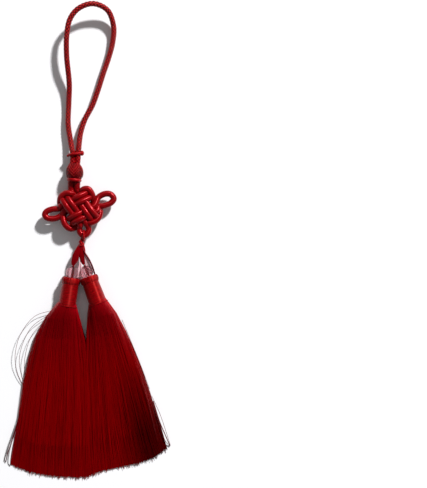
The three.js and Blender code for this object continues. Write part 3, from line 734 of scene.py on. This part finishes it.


# %% [markdown]
# The tie ends inside the heads, so the places of the heads come first. A skirt is given as
# a fan: for each y, where its left and right edges lie. Its ends are a share of the width
# and the y where the fibres are cut there. Inner says which edge lies at the other skirt,
# 1 for the right one, and stays full there. Turned away says how much painted shade darkens
# the skirt at its lower right, where the fibres of the right one turn from the lamp.

# %% Heads, beads and the path of the tie
HEAD_Z = 5.2
TASSELS = {
    "left": {
        "top": (-4.5, -40.5), "lean_deg": -9.3,
        "turned_away": 0.0, "inner": 1,
        "fan": [(-58.2, -14.4, -1.9), (-62.0, -18.6, -0.9), (-69.0, -23.4, 0.7),
                (-79.0, -27.8, 3.2), (-100.0, -32.6, 5.0), (-152.5, -41.2, 5.4)],
        "ends": [(0.0, -153.0), (0.25, -157.2), (0.5, -159.4), (0.85, -160.6), (1.0, -160.0)]},
    "right": {
        "top": (5.6, -39.9), "lean_deg": 20.0,
        "turned_away": 0.72, "inner": -1,
        "fan": [(-56.6, 5.4, 17.6), (-60.6, 5.2, 21.6), (-69.0, 5.0, 25.6),
                (-79.0, 4.6, 30.2), (-100.0, 3.4, 38.4), (-143.0, 3.0, 52.2)],
        "ends": [(0.0, -160.0), (0.2, -156.4), (0.4, -154.3), (0.6, -152.0), (0.8, -148.8),
                 (1.0, -142.8)]},
}
THICKNESS = [10.2, 8.8, 7.4, 6.2, 4.8, 3.4]    # of a skirt at each row of its fan
BEAD = {"radius": 3.9, "hole": 0.8, "lift": 3.0, "flutes": 14, "flute": 0.03}


def down_head(tassel, down):
    """A point on the axis of a head, that far down from its top."""
    lean = math.radians(tassel["lean_deg"])
    return np.array([tassel["top"][0] + down * math.sin(lean),
                     tassel["top"][1] - down * math.cos(lean), HEAD_Z])


def leaned(tassel, place, x, y, z):
    """Points given from a place on the axis of a head, turned as that head leans."""
    lean = math.radians(tassel["lean_deg"])
    return np.stack([place[0] + x * math.cos(lean) - y * math.sin(lean),
                     place[1] + x * math.sin(lean) + y * math.cos(lean),
                     place[2] + z], -1).reshape(-1, 3)


LEFT_LEG = [(1.0, -20.8, 2.4, 1.8), (-0.4, -24.0, 3.6, 2.2), (-1.7, -27.4, 4.0, 2.3),
            (-2.7, -31.0, 3.6, 2.0), (-3.6, -33.1, 1.6, 1.3)]
RIGHT_LEG = [(1.9, -20.8, 2.4, 1.8), (2.0, -24.0, 3.4, 2.2), (1.9, -27.6, 3.2, 2.2),
             (1.9, -30.2, 2.6, 1.8), (2.7, -32.6, 1.6, 1.2)]
HITCH = {"x": 3.1, "radius": 3.0, "thick": 0.55}
STEM = [(2.7, -16.9), (2.1, -17.8), (1.6, -19.4), (1.4, -21.6)]
OVERHAND_TURNS = [(-18.7, 22), (-19.9, -24), (-21.1, 20)]
LOOSE_THREAD = [(2.2, -22.2, 5.6), (3.4, -25.2, 6.2), (6.1, -29.4, 6.8), (8.2, -33.8, 7.0),
                (9.6, -38.4, 6.6)]

# %% [markdown]
# The cord of the tie is one mesh: the hitch round the ear, the stem, three turns of the
# knot, a thin core in each leg and the plied end that goes through each bead. Overlapping
# tubes are enough, because thread pressed into a knot shows no gap between its turns.

# %% Tie
CORE_WIDTH = 0.36     # of a leg's own width
CORE_FLATNESS = 0.55
THROUGH_BEAD = {"radius": 0.42, "ply": twisted_relief(3, 1.4, 0.06)}
KNOT_TURN = {"x": 1.6, "radius": 1.0, "cord_radius": 0.8}
STEM_RADIUS = 1.3
tie_ply = twisted_relief(2, 2.2, 0.14)
tie_parts = []
for rows, name in ((LEFT_LEG, "left"), (RIGHT_LEG, "right")):
    x, y = rows[-1][:2]
    above = (-BEAD["lift"] - BEAD["radius"], -BEAD["lift"] - BEAD["radius"] / 2, -BEAD["lift"])
    through = [(x, y + 0.3, HEAD_Z)] + [down_head(TASSELS[name], d) for d in (*above, 0.9)]
    tie_parts.append(sweep(smooth_line(through, 0.15), THROUGH_BEAD["radius"], 14,
                           THROUGH_BEAD["ply"]))
    core = smooth_line([(r[0], r[1], NECK_Z) for r in rows], 0.5)
    core_width = between([(r[1], r[2]) for r in rows], core[:, 1], 1) * CORE_WIDTH
    points, quads, tris, uv = sweep(core, core_width, 16, first=(1, 0, 0))
    points[:, 2] = NECK_Z + (points[:, 2] - NECK_Z) * CORE_FLATNESS
    tie_parts.append((points, quads, tris, uv))
a = full_turn(90)
hitch = np.stack([0 * a + HITCH["x"], SOUTH_EAR[2][1] + HITCH["radius"] * np.cos(a),
                  LEVEL["ear"] + HITCH["radius"] * np.sin(a)], 1)
tie_parts.append(sweep(hitch, HITCH["thick"], 18, tie_ply, joined=True, first=(1, 0, 0)))
stem = smooth_line([(x, y, NECK_Z) for x, y in STEM], 0.15)
tie_parts.append(sweep(stem, STEM_RADIUS, 18, tie_ply))
for y, tilt_deg in OVERHAND_TURNS:
    turn_line = ring_line(KNOT_TURN["x"], y, NECK_Z, KNOT_TURN["radius"], KNOT_TURN["radius"],
                          tilt_deg, 60)
    tie_parts.append(sweep(turn_line, KNOT_TURN["cord_radius"], 16, tie_ply, joined=True,
                           first=(0, 1, 0)))
tie = make_piece("tassel_tie_cord", *gathered(tie_parts))
dress(tie, thin_cord, "thin_cord", "tassel_tie")
loose_thread = make_piece("tassel_tie_loose_thread", *sweep(
    smooth_line(LOOSE_THREAD, 0.2), 0.45, 12, twisted_relief(3, 1.4, 0.05)))
# The loose thread has the same finish in darker colours.
darker_thread = twisted_thread("darker_twisted_thread", "#200003", "#4c000c")
dress(loose_thread, darker_thread, "thin_cord", "tassel_tie")
print("tie:", len(tie_parts), "lengths of thread and a loose one")

# %% [markdown]
# The tie and the skirts are silk, or the rayon that stands in for it: thousands of fibres
# far finer than a pixel of the photograph. Real ones are near 0.02 mm, and all are drawn
# here more than five times coarser so that they show. The shade differs a little from
# fibre to fibre. It deepens towards the ends: painted shade, where the fibres lie thin and
# shade each other. It deepens again where a skirt turns from the lamp, also painted shade.
# The skirts keep that in the attribute that holds the height of the weave on a cord.

# %% Silk fibre
def silk_fibre(name, root, middle, ends):
    """Dyed silk: bright where the bundle is tight at the head, with painted shade deeper
    where it spreads and where a skirt turns from the lamp.
    """
    material, shader = new_material(name)
    uv = add_node(material, "ShaderNodeUVMap", {"uv_map": "yarn"})
    parts = add_node(material, "ShaderNodeSeparateXYZ", Vector=uv.outputs["UV"])
    # Painted shade: the colour darkens below the root, where the fibres spread and shade each
    # other.
    along = add_node(material, "ShaderNodeValToRGB", Fac=parts.outputs["Y"])
    colour_steps(along, (0.0, root), (0.12, middle), (0.5, ends))
    own = add_node(material, "ShaderNodeTexWhiteNoise", {"noise_dimensions": "1D"},
                   W=parts.outputs["X"])
    tone = add_node(material, "ShaderNodeMapRange", Value=own.outputs["Value"])
    tone.inputs["To Min"].default_value = 0.8
    tone.inputs["To Max"].default_value = 1.18
    # Painted shade where a skirt turns from the lamp, read from the height attribute.
    turned = add_node(material, "ShaderNodeAttribute", {"attribute_name": "height"})
    reach = add_node(material, "ShaderNodeMapRange", Value=parts.outputs["Y"])
    reach.inputs["From Min"].default_value = 0.4
    reach.inputs["From Max"].default_value = 0.85
    away = add_node(material, "ShaderNodeMath", {"operation": "MULTIPLY"},
                    _0=reach.outputs["Result"], _1=turned.outputs["Fac"])
    facing = add_node(material, "ShaderNodeMath", {"operation": "SUBTRACT"},
                      _0=1.0, _1=away.outputs["Value"])
    value = add_node(material, "ShaderNodeMath", {"operation": "MULTIPLY"},
                     _0=tone.outputs["Result"], _1=facing.outputs["Value"])
    shade = add_node(material, "ShaderNodeHueSaturation", Value=value.outputs["Value"],
                     Color=along.outputs["Color"])
    connect(material, shade.outputs["Color"], shader.inputs["Base Color"])
    set_values(shader, Roughness=0.4, IOR=1.54, Specular_Tint=linear("#ff4c50"),
               Specular_IOR_Level=0.35)
    return material


silk = silk_fibre("silk_fibre", "#960210", "#7c0008", "#880002")
# The same silk painted darker for fibres that lie alone: painted shade.
lone_silk_painted_darker = silk_fibre("silk_fibre_seen_singly", "#500006", "#500006", "#500006")
# Pale pink fibres whose colour is painted reflection.
pale_filament_painted_reflection = silk_fibre("pale_filament_painted_reflection", "#e0a0aa", "#f0c4ca", "#f8dce0")

# %% [markdown]
# The floss of the tie is the same silk, so it wears the same finish. Its fibres use only
# the first tenth of the way down a skirt, where the colour is at its brightest.

# %% Floss of the tie
rng = np.random.default_rng(7)
floss_paths = np.concatenate([floss(LEFT_LEG, rng), floss(RIGHT_LEG, rng)])
count, steps, _ = floss_paths.shape
points, quads, tris = fibres(floss_paths, np.full((count, steps), FLOSS["size"]))
uv = fibre_uv(count, steps, rng, 0.1)
tie_floss = make_piece("tassel_tie_floss", points, quads, tris, uv, smooth=False)
dress(tie_floss, silk, "silk", "tassel_tie")
print("floss fibres in the tie:", count)

# %% [markdown]
# Two sheets of very fine and pale filaments hang beside the legs of the tie. Each spreads
# from one point like a veil, and the table shows between its filaments. Fibres that lie
# apart from each other do this by themselves, with no see-through material. Their pale
# pink is painted reflection: the haze of light that the red silk and the beads throw there.

# %% Veil of pale filaments
VEILS = [   # start, first and last end in mm, outward bow in mm and number of fibres
    ((2.6, -24.6), (4.2, -39.2), (9.4, -37.6), 1.1, 110),
    ((0.7, -30.6), (-2.0, -40.6), (3.4, -40.2), 0.2, 80)]
VEIL_STEPS = 7
VEIL_SIZE = 0.07
VEIL_DEPTH = 0.7
veil_parts = []
for start, first_end, last_end, bow, count in VEILS:
    share = np.sort(rng.random(count))[:, None]
    t = np.linspace(0, 1, VEIL_STEPS)[None]
    end = [first_end[i] + (last_end[i] - first_end[i]) * share for i in (0, 1)]
    x = start[0] + (end[0] - start[0]) * t + bow * share * np.sin(np.pi * t)
    y = start[1] + (end[1] - start[1]) * t
    depth = rng.uniform(-VEIL_DEPTH, VEIL_DEPTH, (count, 1))
    z = NECK_Z + depth * np.sin(np.pi * (0.1 + 0.8 * t))
    veil_parts.append(np.stack([x, y, z], 2))
veil_paths = np.concatenate(veil_parts)
points, quads, tris = fibres(veil_paths, np.full(veil_paths.shape[:2], VEIL_SIZE))
uv = fibre_uv(len(veil_paths), VEIL_STEPS, rng)
veil = make_piece("tassel_tie_veil", points, quads, tris, uv, smooth=False)
dress(veil, pale_filament_painted_reflection, "silk", "tassel_tie")
print("filaments in the veil:", len(veil_paths))

# %% [markdown]
# The beads are clear acrylic, moulded and then drilled. Faint flutes run from hole to hole
# and break up what lies behind into streaks. The bore is left through them, so that the
# thread shows inside, bent by the refraction.

# %% Clear acrylic beads
def clear_acrylic():
    """Moulded, polished PMMA, IOR 1.49, so it bends what lies behind it; a faint pink tint,
    painted reflection of the red silk and cord round it.
    The haze of the polish is far too fine to see, and only softens what shows through."""
    material, shader = new_material("clear_acrylic")
    haze = add_node(material, "ShaderNodeTexNoise", Scale=900.0, Detail=2.0)
    rough = add_node(material, "ShaderNodeMapRange", Value=haze.outputs["Fac"])
    rough.inputs["To Min"].default_value = 0.02
    rough.inputs["To Max"].default_value = 0.07
    connect(material, rough.outputs["Result"], shader.inputs["Roughness"])
    # The pale pink colour of the glass is painted reflection of the red round the beads.
    set_values(shader, Base_Color=linear("#e0a8b0"), IOR=1.49, Transmission_Weight=1.0)
    return material


acrylic = clear_acrylic()


def bead(name, tassel):
    start = math.asin(BEAD["hole"] / BEAD["radius"])
    a = np.linspace(start, math.pi - start, 48)
    outer = np.stack([BEAD["radius"] * np.sin(a), BEAD["radius"] * np.cos(a)], 1)
    reach = outer[-1, 1]
    bore = np.stack([np.full(10, BEAD["hole"]), np.linspace(reach, -reach, 12)[1:-1]], 1)
    profile = np.vstack([outer, bore])
    around = 96
    turn = full_turn(around)
    flutes = 1 + BEAD["flute"] * (np.cos(BEAD["flutes"] * turn) - 1)
    flutes = np.where(np.arange(len(profile))[:, None] < len(outer), flutes, 1.0)
    x = profile[:, 0, None] * np.cos(turn) * flutes
    z = profile[:, 0, None] * np.sin(turn) * flutes
    y = profile[:, 1, None] + 0 * x
    points = leaned(tassel, down_head(tassel, -BEAD["lift"]), x, y, z)
    quads, _ = grid_faces(len(profile), around, joined=True)
    uv = np.stack([y.ravel(), np.tile(turn, len(profile))], 1)
    return dress(make_piece(name, points, quads, (), uv), acrylic, "clear_bead", name[:-4])


bead("bead_left_cut", TASSELS["left"])
bead("bead_right_cut", TASSELS["right"])
print("two beads,", 2 * BEAD["radius"], "mm across")

# %% [markdown]
# Each head is the folded top of the tassel, bound with silk thread wound round and round.
# The fibres roll over at the top as a soft rim. The winding is raised on the surface, and
# the rim has folds that run over it instead. Real thread is about 0.3 mm thick. A ridge
# here is twice as wide, so that it still shows.

# %% Wound heads
TABLE_GAP = 0.01    # a head or skirt that would dip into the table lies flat at this height
HEAD_PROFILE = np.array([   # distance down from the top, radius, in mm
    (1.2, 0.4), (0.9, 2.4), (0.3, 3.8), (0.0, 4.5), (0.3, 5.1), (1.2, 5.45), (2.6, 5.45),
    (3.6, 5.15), (4.3, 4.9), (7.5, 5.05), (12.0, 5.2), (15.8, 5.3), (17.2, 5.1)])
WINDING = {"pitch_mm": 0.6, "height_mm": 0.07, "slack_mm": 0.05}
RIM = {"end": 4.1, "sharpness": 6, "folds": (13, 23, 31, 41, 53, 67), "fold_mm": 0.3}


def wound_head(tassel, rng, around=170):
    """A turned surface with folds over its rim and the ridges of the winding below it."""
    at = lengths_along(HEAD_PROFILE)
    fine = np.linspace(0, at[-1], 240)
    down = np.interp(fine, at, HEAD_PROFILE[:, 0])
    radius = np.interp(fine, at, HEAD_PROFILE[:, 1])
    rim = 1 / (1 + np.exp((down - RIM["end"]) * RIM["sharpness"]))
    rim[fine < at[3]] = 1
    turn = full_turn(around)
    phase = rng.random(6) * 6.28
    folds = sum(np.cos(n * turn + p) for n, p in zip(RIM["folds"], phase)) / 6
    winding = np.abs(np.sin(np.pi * (down[:, None] / WINDING["pitch_mm"] + turn / (2 * np.pi))))
    slack = WINDING["slack_mm"] * np.cos(2 * turn + phase[0]) * np.sin(down / 3.1)[:, None]
    bound = WINDING["height_mm"] * winding + slack
    relief = rim[:, None] * RIM["fold_mm"] * folds[None] + (1 - rim[:, None]) * bound
    r = radius[:, None] + relief * np.clip(radius / 3, 0, 1)[:, None]
    points = leaned(tassel, (*tassel["top"], HEAD_Z), r * np.cos(turn),
                    -down[:, None] + 0 * r, r * np.sin(turn))
    points[:, 2] = np.maximum(points[:, 2], TABLE_GAP)
    uv = np.stack([(fine[:, None] + 0 * r).ravel(), (turn * 5.2 + 0 * r).ravel(),
                   as_height(relief).ravel()], 1)
    return (points, *grid_faces(len(fine), around), uv)


def wound_silk():
    """Silk thread wound close: a satin surface that lights up in a band along the head.
    Streaks half a millimetre wide and 3 mm long stand for threads that lie a little off."""
    material, shader = new_material("wound_silk")
    uv = add_node(material, "ShaderNodeUVMap", {"uv_map": "yarn"}).outputs["UV"]
    stretched = add_node(material, "ShaderNodeMapping", Vector=uv, Scale=(1.9, 0.3, 1.0))
    threads = add_node(material, "ShaderNodeTexNoise", Scale=1.0, Detail=4.0, Roughness=0.7,
                       Vector=stretched.outputs["Vector"])
    shade = add_node(material, "ShaderNodeValToRGB", Fac=threads.outputs["Fac"])
    colour_steps(shade, (0.34, "#4c0003"), (0.66, "#940208"))
    connect(material, shade.outputs["Color"], shader.inputs["Base Color"])
    bump = add_node(material, "ShaderNodeBump", Strength=0.2, Distance=0.0001,
                    Height=threads.outputs["Fac"])
    connect(material, bump.outputs["Normal"], shader.inputs["Normal"])
    down = add_node(material, "ShaderNodeTangent", {"direction_type": "UV_MAP", "uv_map": "yarn"})
    connect(material, down.outputs["Tangent"], shader.inputs["Tangent"])
    set_values(shader, Roughness=0.48, Anisotropic=0.85, IOR=1.54,
               Specular_Tint=linear("#ff4c44"), Specular_IOR_Level=0.75)
    return material


wound = wound_silk()

# %% [markdown]
# A skirt is one bundle of fibres that leaves the round foot of its head and flattens into
# a fan on the table. Each fibre keeps its own place in the bundle from root to end. Places
# are spread evenly over the round root, and evenly across the flat end, so the fan neither
# crowds in the middle nor thins out. Small waves, shared by neighbours, part it into locks.
# The cut ends lie almost flat, so that the skirt ends in fibres and not in a thick edge.

# %% Skirts
FOOT = {"down": 15.4, "radius": 5.2, "half_depth": 5.15}
FLATTENING_MM = 22.0    # how far below the foot a skirt is quite flat
LEAVING_MM = 2.4        # how far below it the fibres have left the circle of the foot
CUT = {"shape": 1.4, "uneven_mm": 0.9, "long_share": 0.06, "long_mm": 2.0}
WAVES = {"mm": (0.45, 0.3, 0.2), "across": (41, 93, 171), "along": (5.0, 8.0, 11.0)}
LONE_MM = 0.35          # how far a fibre strays by itself
LIFT_MM = 0.25          # and how far it springs up or down
EDGE_DEPTH = {"outer": 0.05, "inner": 0.6}
BED = 0.03              # the lowest fibres, as a share of the thickness
END_HEIGHT = 0.2        # the height that is left at the cut ends
LOWEST_MM = 0.14


def skirt_paths(tassel, rng, count, steps, low, high):
    """Fibres of a skirt between two shares of its depth, 0 at the table and 1 on top, and
    the place of each across it, from 0 at the left to 1 at the right."""
    place = rng.random(count)
    depth = low + (high - low) * rng.random(count)
    edge = 2 * place - 1
    disc = np.sin(np.pi / 2 * edge)
    down = np.linspace(0, 1, steps) ** 1.25
    fan = tassel["fan"]
    tip = between(tassel["ends"], place, 1) + rng.gamma(CUT["shape"], CUT["uneven_mm"], count)
    longer = rng.random(count) < CUT["long_share"]
    tip = tip - CUT["uneven_mm"] - np.where(longer, rng.random(count) * CUT["long_mm"], 0)
    foot = down_head(tassel, FOOT["down"])
    y = foot[1] + (tip - foot[1])[:, None] * down[None]
    y_fan = np.maximum(y, fan[-1][0])
    run = np.clip(fan[-1][0] - y, 0, None)
    left, right = between(fan, y_fan, 1), between(fan, y_fan, 2)
    slope = [(fan[-1][c] - fan[-2][c]) / (fan[-1][0] - fan[-2][0]) for c in (1, 2)]
    left, right = left - slope[0] * run, right - slope[1] * run
    spread = np.clip((foot[1] - y) / FLATTENING_MM, 0, 1)
    start = np.clip((foot[1] - y) / LEAVING_MM, 0, 1)
    lean = math.radians(tassel["lean_deg"])
    across = disc[:, None] * (1 - spread) + edge[:, None] * spread
    x_fan = (left + right) / 2 + across * (right - left) / 2
    x_foot = foot[0] + disc[:, None] * FOOT["radius"] * math.cos(lean)
    y_foot = disc[:, None] * FOOT["radius"] * math.sin(lean)
    x = x_foot * (1 - start) + x_fan * start
    y = y + y_foot * (1 - start)
    thick = between([(row[0], t) for row, t in zip(fan, THICKNESS)], y_fan, 1)
    chord = np.sqrt(np.clip(1 - across**2, 0, 1)) * (1 - spread)
    least = EDGE_DEPTH["inner"] * np.clip(tassel["inner"] * across, 0, 1) + EDGE_DEPTH["outer"]
    chord = chord + spread * np.sqrt(np.clip(1 - np.abs(across) ** 5, least, 1))
    round_z = HEAD_Z + (2 * depth[:, None] - 1) * chord * FOOT["half_depth"]
    flat_z = thick * (BED + (1 - BED) * depth[:, None] * chord)
    z = round_z * (1 - spread) + flat_z * spread
    sway = sum(a * np.sin(f * place[:, None] + g * down[None] + h) for a, f, g, h in
               zip(WAVES["mm"], WAVES["across"], WAVES["along"], rng.random(3) * 6))
    lone = rng.normal(0, 1, (count, 1)) * np.sin(np.linspace(0, np.pi, steps))[None] * LONE_MM
    x = x + (sway + lone) * start * np.clip(down * 3, 0, 1)[None]
    z = z + rng.normal(0, LIFT_MM, (count, 1)) * down[None]
    z[:, -1] *= END_HEIGHT
    return np.stack([x, y, np.maximum(z, LOWEST_MM)], 2), place


def turned_away(tassel, place):
    """How far a fibre faces away from the lamp, and so how much painted shade it gets: more and
    more from the middle rightwards.
    """
    return tassel["turned_away"] * np.clip((place - 0.4) / 0.35, 0, 1)


LAYERS = [   # name, share of the depth where it starts and ends, size of a fibre, how many
    ("table", 0.0, 0.35, 0.2, 1150), ("middle", 0.35, 0.75, 0.2, 1150),
    ("top", 0.72, 1.0, 0.15, 2500)]
STEPS = 8
TAPER = 0.75
BINDING = {"down": 17.3, "half_width": 6.1, "half_height": 5.1, "radius": 0.2}
for name, seed in (("left", 11), ("right", 23)):
    tassel = TASSELS[name]
    rng = np.random.default_rng(seed)
    binding_line = ring_line(*down_head(tassel, BINDING["down"]), BINDING["half_width"],
                             BINDING["half_height"], tassel["lean_deg"], 150)
    binding = sweep(binding_line, BINDING["radius"], 10, twisted_relief(2, 1.2, 0.05),
                    joined=True, first=(0, 1, 0))
    head = make_piece(f"tassel_{name}_head", *gathered([wound_head(tassel, rng), binding]))
    dress(head, wound, "silk", f"tassel_{name}")
    for layer, low, high, size, count in LAYERS:
        paths, place = skirt_paths(tassel, rng, count, STEPS, low, high)
        sizes = np.full((count, STEPS), size) * np.linspace(1, TAPER, STEPS)[None]
        points, quads, tris = fibres(paths, sizes)
        points[:, 2] = np.maximum(points[:, 2], TABLE_GAP)
        # The third column carries the painted shade of fibres that turn from the lamp.
        away = np.repeat(turned_away(tassel, place), STEPS * 3)
        uv = np.column_stack([fibre_uv(count, STEPS, rng), away])
        skirt = make_piece(f"tassel_{name}_skirt_{layer}", points, quads, tris, uv, False)
        dress(skirt, silk, "silk", f"tassel_{name}")
    print(name, "skirt:", sum(row[-1] for row in LAYERS), "fibres")

# %% [markdown]
# A few fibres always escape. Three long ones bow out from the left skirt, and others stand
# out along the edges and at the lower corners, where thin locks have come away too. Each
# is a tube along its own line, drawn several times its real width, so that it is still a
# line in the picture. Seen singly against the pale table, such a fibre looks darker, so its
# silk is painted darker than the skirt's: painted shade.

# %% Stray fibres
STRAYS = {   # x and y in mm; each line starts and ends in the skirt or runs free at its end
    "left": [
        [(-17.0, -60.5), (-27.0, -64.0), (-35.5, -75.0), (-38.7, -88.0), (-37.4, -98.5),
         (-33.5, -107.5)],
        [(-19.5, -63.5), (-28.8, -70.5), (-34.3, -81.0), (-36.2, -91.0), (-35.0, -100.0),
         (-32.5, -109.0)],
        [(-20.5, -66.0), (-29.0, -76.0), (-32.6, -88.0), (-33.2, -98.0), (-32.2, -106.0)],
        [(-36.0, -122.0), (-39.0, -133.0), (-42.0, -141.0), (-45.8, -151.5)],
        [(-36.5, -127.0), (-40.5, -139.0), (-43.5, -146.5), (-44.6, -151.8)],
    ],
    "right": [
        [(43.5, -112.0), (48.6, -123.0), (52.0, -133.0), (54.6, -142.0)],
        [(25.5, -66.0), (31.5, -80.0), (37.5, -95.0), (42.0, -108.0)],
    ],
}
WISPS = {    # the thin locks
    "left": [[(-37.0, -127.0), (-40.6, -139.0), (-43.2, -146.5), (-44.8, -152.0)],
             [(-37.6, -131.0), (-39.8, -141.0), (-41.2, -149.0), (-42.0, -154.0)]],
    "right": [[(44.4, -115.0), (48.2, -127.0), (52.4, -137.0), (54.4, -142.4)]],
}
STRAY_RADIUS = 0.14
WISP_RADIUS = 0.3
SPRING = {"rest": 0.4, "bow": 2.2, "root": 1.4}    # heights in mm: end, middle and root


def stray_line(points):
    """Low at its end, higher at its root and raised between, as a springy fibre lies."""
    raised = []
    for (x, y), t in zip(points, np.linspace(0, 1, len(points))):
        bow = SPRING["bow"] * math.sin(math.pi * t) ** 1.5
        raised.append((x, y, SPRING["rest"] + bow + SPRING["root"] * (1 - t)))
    return smooth_line(raised, 1.0)


for name in ("left", "right"):
    tubes = []
    lines = [(points, STRAY_RADIUS) for points in STRAYS[name]]
    lines += [(points, WISP_RADIUS) for points in WISPS[name]]
    for index, (points, radius) in enumerate(lines):
        tube = sweep(stray_line(points), radius, 6)
        own = np.full(len(tube[0]), 0.137 * index + 0.05)
        tubes.append((*tube[:3], np.stack([own, own * 0 + 0.9], 1)))
    strays = make_piece(f"tassel_{name}_strays", *gathered(tubes))
    dress(strays, lone_silk_painted_darker, "silk", f"tassel_{name}")
    print(name, "strays:", len(tubes))

# %% [markdown]
# The table is a plain pale sheet under soft studio light. One large lamp stands at the
# upper right, as the shadows of the photograph fall to the lower left, and a pale sky
# fills them.

# %% Table and light
def pale_table():
    """A matt white board: nearly even, with the faintest mottling, 150 mm from patch to
    patch."""
    material, shader = new_material("pale_board")
    mottle = add_node(material, "ShaderNodeTexNoise", Scale=40.0, Detail=2.0)
    shade = add_node(material, "ShaderNodeValToRGB", Fac=mottle.outputs["Fac"])
    colour_steps(shade, (0.0, "#f3f3f5"), (1.0, "#fafafc"))
    connect(material, shade.outputs["Color"], shader.inputs["Base Color"])
    set_values(shader, Roughness=0.8)
    return material


TABLE_HALF = 3.0           # metres
UNDER_THE_PARTS = 0.0002   # metres, so that no fibre lies in the plane of the table
corners = [(x * TABLE_HALF, y * TABLE_HALF, 0) for x, y in ((-1, -1), (1, -1), (1, 1), (-1, 1))]
table_mesh = bpy.data.meshes.new("table")
table_mesh.from_pydata(corners, [], [(0, 1, 2, 3)])
table = bpy.data.objects.new("table", table_mesh)
table.location.z = -UNDER_THE_PARTS
table.data.materials.append(pale_table())
bpy.context.scene.collection.objects.link(table)
table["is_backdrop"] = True

world = bpy.data.worlds.new("studio")
world.use_nodes = True
set_values(world.node_tree.nodes["Background"], Color=(1, 1, 1, 1), Strength=0.24)
bpy.context.scene.world = world


def lamp(name, place, aim, size, power):
    """A round lamp that faces its aim; lengths in metres and power in watts."""
    data = bpy.data.lights.new(name, "AREA")
    data.shape = "DISK"
    data.size = size
    data.energy = power
    lamp_object = bpy.data.objects.new(name, data)
    lamp_object.location = place
    direction = Vector(aim) - Vector(place)
    lamp_object.rotation_mode = "QUATERNION"
    lamp_object.rotation_quaternion = direction.to_track_quat("-Z", "Y")
    bpy.context.scene.collection.objects.link(lamp_object)
    return lamp_object


lamp("key", (2.36, 3.42, 2.81), (0, 0.03, 0), 0.42, 385.0)
bpy.context.scene.view_settings.view_transform = "Standard"
print("one lamp and a pale sky over the table")

# %% [markdown]
# The box round everything drawn here is printed in millimetres. It differs from the box
# round the CAD by the loose fibres, and a little by the relief of cords and threads.

# %% Sizes
low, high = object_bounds()
print("visual box in mm:", [round(1000 * v, 1) for v in (*low, *high)])
